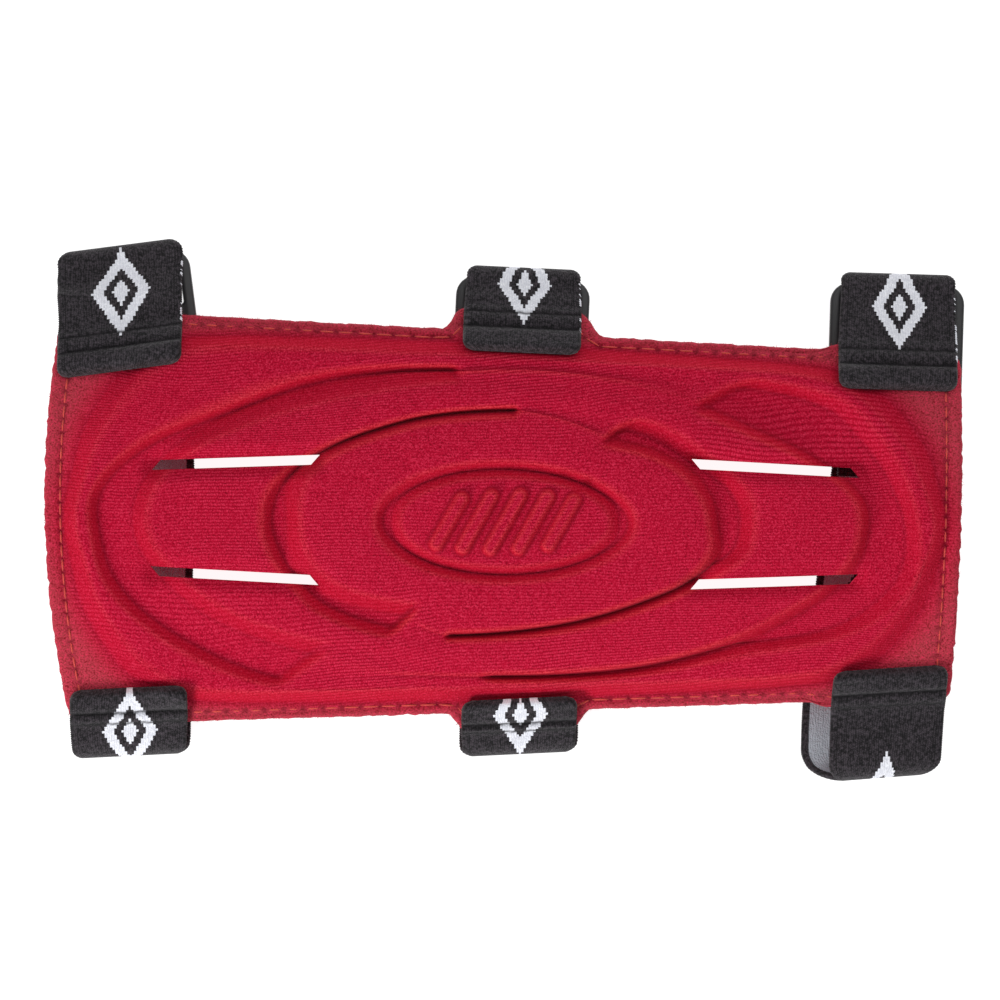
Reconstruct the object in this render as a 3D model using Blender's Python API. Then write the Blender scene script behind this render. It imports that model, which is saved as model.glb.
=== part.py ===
"""Archery arm guard: a moulded foam panel held on by three elastic straps with plastic sliders.

Metres, +Z up. The guard lies on its straps with the panel arched over them. +X runs from the
wide elbow end to the narrow wrist end, and +Y points at the edge that carries the sliders.
"""
import math
from collections import namedtuple

import bmesh
import bpy
from mathutils import Matrix, Vector

# Panel
PANEL_LENGTH = 0.188
WIDE_END = 0.087
NARROW_END = 0.071
CORNER_RADIUS = 0.004
EAR_REACH = 0.0046
EAR_FLANK = 0.0042
ARCH_RISE = 0.008
EDGE_HEIGHT = 0.0085

# Moulded field, its walls and its thicknesses above the underside
END_BORDER = 0.0063
SIDE_BORDER = 0.0052
FIELD_WALL = 0.0016
OVAL_LENGTH = 0.0515
OVAL_WIDTH = 0.0247
OVAL_RING = 0.0040
OVAL_RING_SIDE = 0.0020
OVAL_WALL = 0.0011
CHANNEL_WALL = 0.0020
GROOVE_WALL = 0.0014
BORDER_THICKNESS = 0.0024
RIM_THICKNESS = 0.0050
BAND_THICKNESS = 0.0056
EYE_THICKNESS = 0.0060
OVAL_THICKNESS = 0.0058
OVAL_DEPTH = 0.0014
CHANNEL_DEPTH = 0.0017
GROOVE_DEPTH = 0.0020
SLOT_WIDTH = 0.0021
SLOT_SLANT = 0.0018

# Elastic tape and plastic sliders
TAPE_WIDTH = 0.025
TAPE_THICKNESS = 0.0015
HEM_SPREAD = 0.0008
FOLD_PINCH = 0.0015
BAR_PINCH = 0.0020
HEM_THICKNESS = 0.0026
SEAM_DENT = 0.0005
LONGEST_HEM = 0.0125
HEM_END = 0.0045
HEM_MARGIN = 0.0007
STITCH_PITCH = 0.0031
LONGEST_REACH = 0.0158
TURN_BACK = 0.016
SLIDER_CLEARANCE = 0.0003
SLIDER_SIDE = 0.0022
SLIDER_THICKNESS = 0.0030
SLIDER_BAR = 0.0026
SLIDER_SLOT = 0.0090
SLIDER_CORNER = 0.0030
SLIDER_EDGE = 0.0005
TAB_CLIMB = 52.0
GAP = 0.00035
HEM_GAP = 0.00050
HEM_BRIDGE = 0.0016
EDGE_MARGIN = 0.0022
OUTLINE_STEP = 0.0050
STRAP_STEPS = 14
SWEEP_TURN = -20.0

HALF_LENGTH = PANEL_LENGTH / 2
HEM_WIDTH = TAPE_WIDTH + HEM_SPREAD
BAR_WIDTH = TAPE_WIDTH - BAR_PINCH
FIELD_LENGTH = PANEL_LENGTH - 2 * END_BORDER
FIELD_WIDTH = (WIDE_END + NARROW_END) / 2 - 2 * SIDE_BORDER
FIELD_X = FIELD_LENGTH / 2
FIELD_Y = FIELD_WIDTH / 2
WRAP_RADIUS = (
    math.hypot(SLIDER_BAR / 2 - SLIDER_EDGE, SLIDER_THICKNESS / 2 - SLIDER_EDGE) + SLIDER_EDGE + GAP
)
BAR_HEIGHT = WRAP_RADIUS + TAPE_THICKNESS

# Curve of each end as shares of its width: how far its middle stands past half the length, how
# far its corners fall back, and how much further the +Y corner reaches than the middle
EndCurve = namedtuple("EndCurve", "crown drop lean")
END_CURVES = {-1: EndCurve(0.016, 0.048, 0.016), 1: EndCurve(0.007, 0.011, 0.010)}

# Place of each tape along the panel as a share of half the length, the turn of its run in
# degrees, the further skew of its folds, its ear and how far the ear's flank starts inside the
# tape as shares of EAR_REACH and EAR_FLANK, and its hem, reach past the edge and sideways sweep
# as shares of LONGEST_HEM, LONGEST_REACH and TAPE_WIDTH. The first three rows are the tabs on
# +Y, the others the straps on -Y.
Station = namedtuple("Station", "name side x turn skew ear tuck hem reach sweep")
STATIONS = (
    Station("left", 1, -0.857, 1.0, 7.0, 0.0, 0.0, 1.00, 0.897, 0.0),
    Station("middle", 1, 0.034, -1.0, -1.0, 1.0, 0.0, 0.70, 0.598, 0.0),
    Station("right", 1, 0.866, -1.0, -0.1, 0.26, 0.0, 0.71, 1.000, 0.0),
    Station("left", -1, -0.828, 0.0, 3.5, 0.0, 0.0, 0.60, 0.456, 0.0),
    Station("middle", -1, 0.036, 0.0, 3.4, 0.9, 0.4, 0.55, 0.332, 0.0),
    Station("right", -1, 0.853, -2.0, 6.0, 0.26, 0.0, 0.63, 0.950, -0.20),
)

# Slots cut through the panel between its channels: the middle of each end as shares of the
# field's half sizes, in one quarter
SlotEnd = namedtuple("SlotEnd", "along across")
SLOT_ENDS = (SlotEnd(0.450, 0.364), SlotEnd(0.827, 0.321))

# Edge of the moulded field: share of the field's half sizes at an angle from the X axis
Rim = namedtuple("Rim", "angle share")
FIELD_EDGE = (
    Rim(0, 1.013), Rim(15, 1.022), Rim(30, 1.085), Rim(38, 1.135), Rim(44, 1.180),
    Rim(52, 1.212), Rim(58, 1.165), Rim(65, 1.095), Rim(76, 1.025), Rim(90, 1.000),
)  # fmt: skip

# Channels: inner and outer edge as shares of the field's half sizes, and share of the full depth
Channel = namedtuple("Channel", "angle inner outer depth")
GROOVE = (
    Channel(-20, 0.527, 0.592, 1), Channel(0, 0.497, 0.577, 1), Channel(23, 0.512, 0.602, 1),
    Channel(43, 0.547, 0.635, 1), Channel(55, 0.560, 0.682, 1), Channel(63, 0.556, 0.700, 1),
    Channel(68, 0.560, 0.660, 0), Channel(84, 0.655, 0.690, 0), Channel(88, 0.654, 0.688, 1),
    Channel(107, 0.625, 0.656, 1), Channel(120, 0.594, 0.624, 1), Channel(140, 0.562, 0.594, 1),
    Channel(161, 0.517, 0.573, 1), Channel(180, 0.494, 0.560, 1), Channel(200, 0.512, 0.576, 1),
    Channel(218, 0.550, 0.620, 1), Channel(230, 0.562, 0.670, 1), Channel(246, 0.556, 0.706, 1),
    Channel(250, 0.560, 0.706, 0), Channel(256, 0.680, 0.712, 0), Channel(260, 0.678, 0.708, 1),
    Channel(282, 0.628, 0.664, 1), Channel(303, 0.580, 0.612, 1), Channel(322, 0.557, 0.588, 1),
)  # fmt: skip
CHANNEL = (
    Channel(-5, 0.860, 0.972, 1), Channel(11, 0.862, 0.967, 1), Channel(24, 0.857, 1.000, 1),
    Channel(35, 0.855, 1.050, 1), Channel(46, 0.860, 1.118, 1), Channel(56, 0.874, 1.095, 1),
    Channel(61, 0.880, 1.040, 0), Channel(92, 0.864, 0.926, 0), Channel(97, 0.862, 0.928, 1),
    Channel(115, 0.834, 0.942, 1), Channel(136, 0.828, 0.910, 1), Channel(154, 0.846, 0.944, 1),
    Channel(171, 0.858, 0.966, 1), Channel(187, 0.858, 0.963, 1), Channel(203, 0.848, 0.988, 1),
    Channel(222, 0.853, 1.025, 1), Channel(238, 0.851, 1.062, 1), Channel(243, 0.852, 1.060, 0),
    Channel(265, 0.922, 0.950, 0), Channel(270, 0.922, 0.952, 1), Channel(289, 0.940, 0.985, 1),
    Channel(303, 0.922, 0.985, 1), Channel(318, 0.900, 1.060, 0.8), Channel(332, 0.885, 1.040, 0.8),
)  # fmt: skip


def blend(rows, angle, column, period=360.0):
    """Value of a column at an angle: a smooth curve through the rows of a closed table."""
    count = len(rows)
    angle = (angle - rows[0].angle) % period + rows[0].angle

    def row(i):
        turns, index = divmod(i, count)
        return rows[index].angle + turns * period, getattr(rows[index], column)

    i = max(k for k in range(count) if rows[k].angle <= angle)
    (a0, v0), (a1, v1), (a2, v2), (a3, v3) = (row(i + k) for k in (-1, 0, 1, 2))
    span = a2 - a1
    t = (angle - a1) / span
    m1 = (v2 - v0) / (a2 - a0) * span
    m2 = (v3 - v1) / (a3 - a1) * span
    return (
        (2 * t**3 - 3 * t**2 + 1) * v1
        + (t**3 - 2 * t**2 + t) * m1
        + (3 * t**2 - 2 * t**3) * v2
        + (t**3 - t**2) * m2
    )


def depth_share(rows, angle):
    """How deep a channel is at an angle, from 0 where it has ended to 1."""
    angle = (angle - rows[0].angle) % 360.0 + rows[0].angle
    i = max(k for k in range(len(rows)) if rows[k].angle <= angle)
    here = rows[i]
    after = rows[(i + 1) % len(rows)]
    span = (after.angle - here.angle) % 360.0
    return here.depth + (after.depth - here.depth) * (angle - here.angle) / span


def field_edge(angle):
    """Share of the moulded field's edge at an angle, the same in all four quarters."""
    folded = abs((angle + 90.0) % 180.0 - 90.0)
    quarter = [Rim(-row.angle, row.share) for row in reversed(FIELD_EDGE[1:-1])]
    return blend(quarter + list(FIELD_EDGE), folded, "share", period=180.0)


def half_width(x):
    """Half of the panel's width at x, without its ears."""
    share = x / PANEL_LENGTH + 0.5
    return (WIDE_END + (NARROW_END - WIDE_END) * share) / 2


def taper(x):
    """Width at x as a share of the width in the middle."""
    return half_width(x) / half_width(0.0)


def station(name, side):
    """The row of STATIONS with that name and side."""
    return next(s for s in STATIONS if s.name == name and s.side == side)


def ear(x, side):
    """How far the panel's long edge reaches out at x to carry a tape."""
    reach = 0.0
    for s in STATIONS:
        if s.side == side:
            beyond = abs(x - s.x * HALF_LENGTH) - TAPE_WIDTH / 2 + EAR_FLANK * s.tuck
            t = min(1.0, max(0.0, 1.0 - beyond / EAR_FLANK))
            reach = max(reach, EAR_REACH * s.ear * t * t * (3 - 2 * t))
    return reach


def edge(x, side):
    """Y of the panel's long edge at x on one side."""
    return side * (half_width(x) + ear(x, side))


def end_x(sign, y):
    """X of the panel's end on one side of the middle, at y."""
    width = 2 * half_width(sign * HALF_LENGTH)
    curve = END_CURVES[sign]
    share = 2 * y / width
    return sign * (HALF_LENGTH + width * (curve.crown - curve.drop * share**2 + curve.lean * share))


def corner_middle(sign, side):
    """Middle of the arc that rounds a corner of the panel."""
    y = edge(sign * HALF_LENGTH, side) - side * CORNER_RADIUS
    x = end_x(sign, y) - sign * CORNER_RADIUS
    return x, edge(x, side) - side * CORNER_RADIUS


def to_shares(x, y):
    """Angle in degrees and share of the field's half sizes at a point of the panel."""
    u = x / FIELD_X
    v = y / (FIELD_Y * taper(x))
    return math.degrees(math.atan2(v, u)) % 360.0, math.hypot(u, v)


def from_shares(angle, share):
    """Point of the panel at an angle and a share of the field's half sizes."""
    x = FIELD_X * share * math.cos(math.radians(angle))
    return x, FIELD_Y * taper(x) * share * math.sin(math.radians(angle))


def share_of(distance, angle):
    """A distance across the rings at an angle, as a share of the field's half sizes."""
    s, c = math.sin(math.radians(angle)), math.cos(math.radians(angle))
    return distance * math.hypot(FIELD_X * s, FIELD_Y * c) / (FIELD_X * FIELD_Y)


def oval(length, width, angle):
    """Share of an oval of that length and width at an angle."""
    s, c = math.sin(math.radians(angle)), math.cos(math.radians(angle))
    return 1 / math.hypot(c * FIELD_LENGTH / length, s * FIELD_WIDTH / width)


def trough(rows, angle, wall, high, low, depth):
    """Four (share, thickness) rings of a channel between a thickness inside and one outside."""
    inner = blend(rows, angle, "inner")
    outer = blend(rows, angle, "outer")
    slope = min(share_of(wall, angle), 0.42 * (outer - inner))
    cut = depth * depth_share(rows, angle)
    return [
        (inner, high),
        (inner + slope, high - cut),
        (outer - slope, low - cut),
        (outer, low),
    ]


def rings(angle):
    """(share, thickness) of each ring of the moulded face at an angle, from the middle outwards."""
    wall = share_of(OVAL_WALL, angle)
    badge = oval(OVAL_LENGTH - 2 * OVAL_RING, OVAL_WIDTH - 2 * OVAL_RING_SIDE, angle)
    recess = oval(OVAL_LENGTH, OVAL_WIDTH, angle)
    crest = field_edge(angle)
    return [
        (badge * 0.5, OVAL_THICKNESS),
        (badge, OVAL_THICKNESS),
        (badge + wall, OVAL_THICKNESS - OVAL_DEPTH),
        (recess - wall, OVAL_THICKNESS - OVAL_DEPTH),
        (recess, EYE_THICKNESS),
        *trough(GROOVE, angle, GROOVE_WALL, EYE_THICKNESS, BAND_THICKNESS, GROOVE_DEPTH),
        *trough(CHANNEL, angle, CHANNEL_WALL, BAND_THICKNESS, RIM_THICKNESS, CHANNEL_DEPTH),
        (crest, RIM_THICKNESS),
        (crest + share_of(FIELD_WALL, angle), BORDER_THICKNESS),
    ]


def underside(x, y):
    """Height of the panel's underside above the table."""
    return EDGE_HEIGHT + ARCH_RISE * (1 - (y / half_width(x)) ** 2)


def thickness_at(x, y):
    """Thickness of the panel at a point, straight between the rings."""
    angle, share = to_shares(x, y)
    inside = (0.0, OVAL_THICKNESS)
    for ring in rings(angle):
        if share <= ring[0]:
            t = (share - inside[0]) / (ring[0] - inside[0])
            return inside[1] + (ring[1] - inside[1]) * t
        inside = ring
    return BORDER_THICKNESS


def bridged_top(x, y, reach=HEM_BRIDGE):
    """Height of the panel's face as a stiff tape feels it, lifted over steps within its reach."""
    around = [(x + i * reach, y + j * reach) for i in (-1, 0, 1) for j in (-1, 0, 1)]
    return underside(x, y) + max(thickness_at(*p) for p in around)


def arc(centre, radius, start, stop, steps):
    """Points on an arc, with its angles in degrees."""
    turns = [math.radians(start + (stop - start) * i / steps) for i in range(steps + 1)]
    return [(centre[0] + radius * math.cos(a), centre[1] + radius * math.sin(a)) for a in turns]


def side_stations(side, step=OUTLINE_STEP):
    """X places along a long edge, close together where an ear begins and ends."""
    low, high = (corner_middle(sign, side)[0] for sign in (-1, 1))
    count = round((high - low) / step)
    places = [low + (high - low) * i / count for i in range(1, count)]
    for s in STATIONS:
        if s.side == side and s.ear:
            for sign in (-1, 1):
                start = s.x * HALF_LENGTH + sign * (TAPE_WIDTH / 2 - EAR_FLANK * s.tuck)
                flank = [start + sign * EAR_FLANK * k / 4 for k in range(5)]
                places = [p for p in places if all(abs(p - f) > step / 3 for f in flank)] + flank
    return sorted(p for p in places if low + step / 3 < p < high - step / 3)


def end_points(sign, steps=8):
    """One bowed end of the panel, from its -Y corner to its +Y corner."""
    low, high = (corner_middle(sign, side)[1] for side in (-1, 1))
    places = [low + (high - low) * i / steps for i in range(steps + 1)]
    return [(end_x(sign, y), y) for y in places]


def corner_points(sign, side):
    """A rounded corner of the panel, without its end points, anticlockwise."""
    start = {(1, 1): 0, (-1, 1): 90, (-1, -1): 180, (1, -1): 270}[(sign, side)]
    return arc(corner_middle(sign, side), CORNER_RADIUS, start, start + 90, 4)[1:]


def outline():
    """The panel's outline seen from above, anticlockwise from the narrow end."""
    top = [(x, edge(x, 1)) for x in reversed(side_stations(1))]
    bottom = [(x, edge(x, -1)) for x in side_stations(-1)]
    narrow = end_points(1)
    wide = list(reversed(end_points(-1)))
    return [
        *narrow, *corner_points(1, 1), *top, *corner_points(-1, 1)[:-1],
        *wide, *corner_points(-1, -1), *bottom, *corner_points(1, -1)[:-1],
    ]  # fmt: skip


def material(name, colour, roughness, metallic=0.0):
    """A plain Principled material."""
    made = bpy.data.materials.new(name)
    made.use_nodes = True
    shader = made.node_tree.nodes["Principled BSDF"]
    shader.inputs["Base Color"].default_value = (*colour, 1.0)
    shader.inputs["Roughness"].default_value = roughness
    shader.inputs["Metallic"].default_value = metallic
    return made


def add_object(name, mesh, finish):
    """Puts a mesh in the scene as a named object with one material."""
    made = bpy.data.objects.new(name, mesh)
    bpy.context.scene.collection.objects.link(made)
    mesh.materials.append(finish)
    return made


def add_cutter(name, mesh):
    """Puts a mesh in the scene as a cutter, which isn't part of the guard."""
    made = bpy.data.objects.new(name, mesh)
    bpy.context.scene.collection.objects.link(made)
    made.display_type = "WIRE"
    made.hide_render = True
    return made


def subtract(target, cutter):
    """Cuts one object out of another with an exact Boolean."""
    cut = target.modifiers.new("cut_" + cutter.name, "BOOLEAN")
    cut.object = cutter
    cut.operation = "DIFFERENCE"
    cut.solver = "EXACT"


def bridge(bm, lower, upper):
    """Quads between two closed rings of vertices."""
    count = len(lower)
    for i in range(count):
        j = (i + 1) % count
        bm.faces.new((lower[i], lower[j], upper[j], upper[i]))


def panel_mesh():
    """The moulded panel: rings of the relief on top, a plain arched underside and a cut edge."""
    border = outline()
    angles = [to_shares(x, y)[0] for x, y in border]
    bm = bmesh.new()

    def ring_on_face(index):
        loop = []
        for angle in angles:
            share, thickness = rings(angle)[index]
            x, y = from_shares(angle, share)
            loop.append(bm.verts.new((x, y, underside(x, y) + thickness)))
        return loop

    def ring_below(share_at):
        loop = []
        for angle in angles:
            x, y = from_shares(angle, share_at(angle))
            loop.append(bm.verts.new((x, y, underside(x, y))))
        return loop

    face = [ring_on_face(i) for i in range(len(rings(0.0)))]
    face.append([bm.verts.new((x, y, underside(x, y) + BORDER_THICKNESS)) for x, y in border])
    below = [ring_below(lambda angle, part=part: part * field_edge(angle)) for part in (0.3, 0.6, 0.9)]
    below.append([bm.verts.new((x, y, underside(x, y))) for x, y in border])
    for inner, outer in zip(face, face[1:]):
        bridge(bm, outer, inner)
    for inner, outer in zip(below, below[1:]):
        bridge(bm, inner, outer)
    bridge(bm, below[-1], face[-1])
    for loop, height, flip in ((face[0], OVAL_THICKNESS, False), (below[0], 0.0, True)):
        middle = bm.verts.new((0.0, 0.0, underside(0.0, 0.0) + height))
        for i, v in enumerate(loop):
            after = loop[(i + 1) % len(loop)]
            bm.faces.new((after, v, middle) if flip else (v, after, middle))
    bmesh.ops.recalc_face_normals(bm, faces=bm.faces)
    mesh = bpy.data.meshes.new("panel")
    bm.to_mesh(mesh)
    bm.free()
    return mesh


def slot_mesh(end, side):
    """Cutter for one slot, with slanting ends."""
    (x0, y0), (x1, y1) = ((FIELD_X * e.along, FIELD_Y * e.across) for e in SLOT_ENDS)
    slant = SLOT_SLANT / 2
    half = SLOT_WIDTH / 2
    plan = [
        (x0 + slant, y0 - half), (x1 + slant, y1 - half),
        (x1 - slant, y1 + half), (x0 - slant, y0 + half),
    ]  # fmt: skip
    above = EDGE_HEIGHT + ARCH_RISE + EYE_THICKNESS * 2
    bm = bmesh.new()
    base = [bm.verts.new((end * x, side * y, 0.0)) for x, y in plan]
    top = [bm.verts.new((v.co.x, v.co.y, above)) for v in base]
    bm.faces.new(base)
    bm.faces.new(reversed(top))
    bridge(bm, base, top)
    bmesh.ops.recalc_face_normals(bm, faces=bm.faces)
    mesh = bpy.data.meshes.new("slot")
    bm.to_mesh(mesh)
    bm.free()
    return mesh


# One section across a tape: its middle, its turn in plan, the height of its inner face, the
# outward direction there along the tape's own Y and Z, its thickness, its width and what it
# lies on
Section = namedtuple("Section", "x y turn z out_y out_z thickness width on")


def ease(t):
    """Eases a share from 0 to 1, level at both ends."""
    t = min(1.0, max(0.0, t))
    return t * t * (3 - 2 * t)


def along(anchor, turn, distance):
    """Point at a distance along a tape's own +Y from an anchor."""
    a = math.radians(turn)
    return anchor[0] - math.sin(a) * distance, anchor[1] + math.cos(a) * distance


def sections(side, profile):
    """Sections from a profile of (x, y, turn, own_y, z, thickness, width, on)."""
    made = []
    for i, (x, y, turn, own_y, z, thickness, width, on) in enumerate(profile):
        before = profile[max(i - 1, 0)]
        after = profile[min(i + 1, len(profile) - 1)]
        step = Vector((after[3] - before[3], after[4] - before[4]))
        step.normalize()
        out = (-side * step.y, side * step.x)
        made.append(Section(x, y, turn, z, *out, thickness, width, on))
    return made


def resting_height(x, y, z, on):
    """Height of a tape's inner face at a point, kept off the panel's face or its underside."""
    if on == "face":
        return bridged_top(x, y) + HEM_GAP
    if on == "underside":
        return underside(x, y) - HEM_GAP
    past_edge = abs(y) - abs(edge(x, math.copysign(1, y)))
    if on == "over" and past_edge < EDGE_MARGIN:
        return max(z, bridged_top(x, y) + HEM_GAP)
    if on == "under" and past_edge < EDGE_MARGIN / 4:
        return min(z, underside(x, y) - HEM_GAP)
    return z


def tape_mesh(name, profile, side, strips=4):
    """A flat tape of rectangular section that follows a profile and lies on what carries it."""
    bm = bmesh.new()
    rows = []
    for s in sections(side, profile):
        a = math.radians(s.turn)
        inner, outer = [], []
        for k in range(strips + 1):
            across = s.width * (k / strips - 0.5)
            x = s.x + math.cos(a) * across
            y = s.y + math.sin(a) * across
            z = resting_height(x, y, s.z, s.on)
            inner.append(bm.verts.new((x, y, z)))
            reach = s.thickness * s.out_y
            outer.append(
                bm.verts.new(
                    (x - math.sin(a) * reach, y + math.cos(a) * reach, z + s.thickness * s.out_z)
                )
            )
        rows.append(inner + list(reversed(outer)))
    for here, after in zip(rows, rows[1:]):
        bridge(bm, here, after)
    for row in (rows[0], rows[-1]):
        for k in range(strips):
            bm.faces.new((row[k], row[k + 1], row[-2 - k], row[-1 - k]))
    bmesh.ops.recalc_face_normals(bm, faces=bm.faces)
    mesh = bpy.data.meshes.new(name)
    bm.to_mesh(mesh)
    bm.free()
    return mesh


def curve_between(start, start_slope, stop, stop_slope, steps):
    """Points of a cubic between two (y, z) points, without its first one."""
    pull = (Vector(stop) - Vector(start)).length / 2.2
    a = Vector(start)
    b = a + Vector(start_slope).normalized() * pull
    d = Vector(stop)
    c = d - Vector(stop_slope).normalized() * pull
    points = []
    for i in range(1, steps + 1):
        t = i / steps
        points.append(a * (1 - t) ** 3 + b * 3 * t * (1 - t) ** 2 + c * 3 * t * t * (1 - t) + d * t**3)
    return [(p.x, p.y) for p in points]


def hem_profile(hem):
    """(distance from the panel's edge, thickness) along a hem: rolled end, then two seams."""
    last_seam = HEM_END - hem
    first_seam = min(last_seam + STITCH_PITCH, -HEM_MARGIN)
    rows = [
        (-hem, HEM_THICKNESS * 0.45),
        (-hem + 0.0005, HEM_THICKNESS * 0.85),
        (-hem + 0.0013, HEM_THICKNESS),
        (last_seam - 0.0012, HEM_THICKNESS),
        (last_seam, HEM_THICKNESS - SEAM_DENT),
        ((last_seam + first_seam) / 2, HEM_THICKNESS * 0.92),
        (first_seam, HEM_THICKNESS - SEAM_DENT),
        (first_seam + 0.0012, TAPE_THICKNESS),
    ]
    return [row for row in rows if row[0] <= -HEM_MARGIN]


def tape_anchor(s):
    """The point of the panel's edge that a tape crosses."""
    x = s.x * HALF_LENGTH
    return x, edge(x, s.side)


def edge_slope(s):
    """Direction in which the panel's face leaves its edge at a station, as (own y, z)."""
    x, y = tape_anchor(s)
    return s.side, -2 * ARCH_RISE * abs(y) / half_width(x) ** 2


def near_bar(s):
    """Distance from the panel's edge to the middle of the slider's bar in the tab's turn."""
    return LONGEST_REACH * s.reach - TAPE_THICKNESS - WRAP_RADIUS


def slider_point(s, inwards):
    """Point on a slider's own middle line, at a distance inwards from its bar in the tab."""
    bar = along(tape_anchor(s), s.turn, near_bar(s))
    return along(bar, s.turn + s.skew, -inwards)


def tab_mesh(s):
    """The sewn loop on the +Y edge: front leg, turn around the slider's bar, leg behind the edge."""
    anchor = tape_anchor(s)
    face = underside(*anchor) + BORDER_THICKNESS + HEM_GAP
    behind = underside(*anchor) - HEM_GAP
    bar = near_bar(s)

    across = s.turn + s.skew

    def front(own_y, z, thickness, width, on):
        return (*along(anchor, s.turn, own_y), across, own_y, z, thickness, width, on)

    def back(own_y, z, on=None):
        return (*slider_point(s, bar - own_y), across, own_y, z, TAPE_THICKNESS, BAR_WIDTH, on)

    slope = edge_slope(s)[1]
    profile = []
    for y, thickness in hem_profile(LONGEST_HEM * s.hem):
        profile.append(front(y, face + slope * y, thickness, HEM_WIDTH, "face"))
    top = (bar, BAR_HEIGHT + WRAP_RADIUS)
    for y, z in curve_between((0.0, face), (1, slope), top, (1, -0.25), 6):
        width = HEM_WIDTH + (BAR_WIDTH - HEM_WIDTH) * ease(y / bar)
        profile.append(front(y, z, TAPE_THICKNESS, width, "over"))
    wrap = arc((bar, BAR_HEIGHT), WRAP_RADIUS, 70, -90 - TAB_CLIMB, 9)
    for y, z in wrap:
        profile.append(back(y, z))
    climb = (-math.cos(math.radians(TAB_CLIMB)), math.sin(math.radians(TAB_CLIMB)))
    for y, z in curve_between(wrap[-1], climb, (-EDGE_MARGIN / 2, behind), (-1, 0), 7):
        profile.append(back(y, z, "under"))
    for share in (0.25, 0.4, 0.56):
        y = -share * LONGEST_HEM
        profile.append(back(y, behind + slope * y, "underside"))
    return tape_mesh("tab_" + s.name, profile, 1)


def strap_mesh(s):
    """The long strap: hem on the -Y edge, round fold, leg on the table, turn around the slider."""
    anchor = tape_anchor(s)
    face = underside(*anchor) + BORDER_THICKNESS + HEM_GAP
    slope = edge_slope(s)[1]
    far = station(s.name, 1)
    inner_bar = 2 * SLIDER_SLOT + 2 * SLIDER_BAR
    flat = TAPE_THICKNESS
    across = s.turn + s.skew

    def back(beyond, own_y, z):
        place = slider_point(far, inner_bar - beyond)
        return (*place, far.turn + far.skew, own_y, z, flat, BAR_WIDTH, None)

    profile = []
    for y, thickness in hem_profile(LONGEST_HEM * s.hem):
        place = along(anchor, s.turn, -y)
        profile.append((*place, across, -y, face + slope * y, thickness, TAPE_WIDTH, "face"))
    tip = LONGEST_REACH * s.reach - flat
    middle = (face + flat) / 2
    fold = curve_between((0.0, face), (-1, slope), (-tip, middle), (0, -1), 7)
    fold += curve_between((-tip, middle), (0, -1), (-tip / 2, flat), (1, 0), 7)
    turned = len(fold) // 2
    for i, (own_y, z) in enumerate(fold):
        t = max(0.0, (i - turned + 3) / (len(fold) - turned + 2))
        x, y = along(anchor, s.turn, own_y)
        x += TAPE_WIDTH * s.sweep * ease(t)
        turn = across + SWEEP_TURN * s.sweep * t
        width = TAPE_WIDTH - FOLD_PINCH * ease(1.0 - abs(i + 1 - turned) / turned)
        profile.append((x, y, turn, own_y, z, flat, width, "over"))
    start = profile[-1]
    stop = back(0.0, 0.0, flat)
    run = math.hypot(stop[0] - start[0], stop[1] - start[1])
    for i in range(1, STRAP_STEPS):
        t = i / STRAP_STEPS
        x = start[0] + (stop[0] - start[0]) * ease(t)
        y = start[1] + (stop[1] - start[1]) * t
        turn = start[2] + (stop[2] - start[2]) * ease(t)
        width = TAPE_WIDTH - BAR_PINCH * ease(3 * t - 2)
        profile.append((x, y, turn, start[3] + run * t, flat, flat, width, None))
    at_bar = start[3] + run
    wrap = arc((0.0, BAR_HEIGHT), WRAP_RADIUS, -90, 110, 9)
    level = 2 * flat + GAP
    settle = curve_between(wrap[-1], (-1, -0.5), (-TURN_BACK * 0.55, level), (-1, 0), 6)
    for beyond, z in [*wrap, *settle, (-TURN_BACK, level)]:
        profile.append(back(beyond, at_bar + beyond, z))
    return tape_mesh("strap_" + s.name, profile, -1)


def box_mesh(name, size, corner, segments=4):
    """A box about the origin whose upright edges are rounded."""
    bm = bmesh.new()
    bmesh.ops.create_cube(bm, size=1.0, matrix=Matrix.Diagonal((*size, 1.0)))
    upright = [e for e in bm.edges if abs(e.verts[0].co.z - e.verts[1].co.z) > size[2] / 2]
    bmesh.ops.bevel(bm, geom=upright, offset=corner, segments=segments, profile=0.5, affect="EDGES")
    mesh = bpy.data.meshes.new(name)
    bm.to_mesh(mesh)
    bm.free()
    return mesh


def add_slider(s, finish):
    """A flat slider with three bars, lying level behind the panel's +Y edge."""
    slot_width = BAR_WIDTH + 2 * SLIDER_CLEARANCE
    length = 3 * SLIDER_BAR + 2 * SLIDER_SLOT
    size = (slot_width + 2 * SLIDER_SIDE, length, SLIDER_THICKNESS)
    made = add_object("slider_" + s.name, box_mesh("slider", size, SLIDER_CORNER), finish)
    made.location = (*slider_point(s, SLIDER_SLOT + SLIDER_BAR), BAR_HEIGHT)
    made.rotation_euler = (0.0, 0.0, math.radians(s.turn + s.skew))
    window = (slot_width, SLIDER_SLOT, SLIDER_THICKNESS * 3)
    for i, sign in enumerate((-1, 1)):
        cutter = add_cutter(f"window_{s.name}_{i}", box_mesh("window", window, SLIDER_EDGE, 2))
        cutter.parent = made
        cutter.location = (0.0, sign * (SLIDER_SLOT + SLIDER_BAR) / 2, 0.0)
        subtract(made, cutter)
    soften = made.modifiers.new("soft_edges", "BEVEL")
    soften.width = SLIDER_EDGE
    soften.segments = 2
    soften.limit_method = "ANGLE"
    soften.angle_limit = math.radians(50)
    return made


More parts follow.
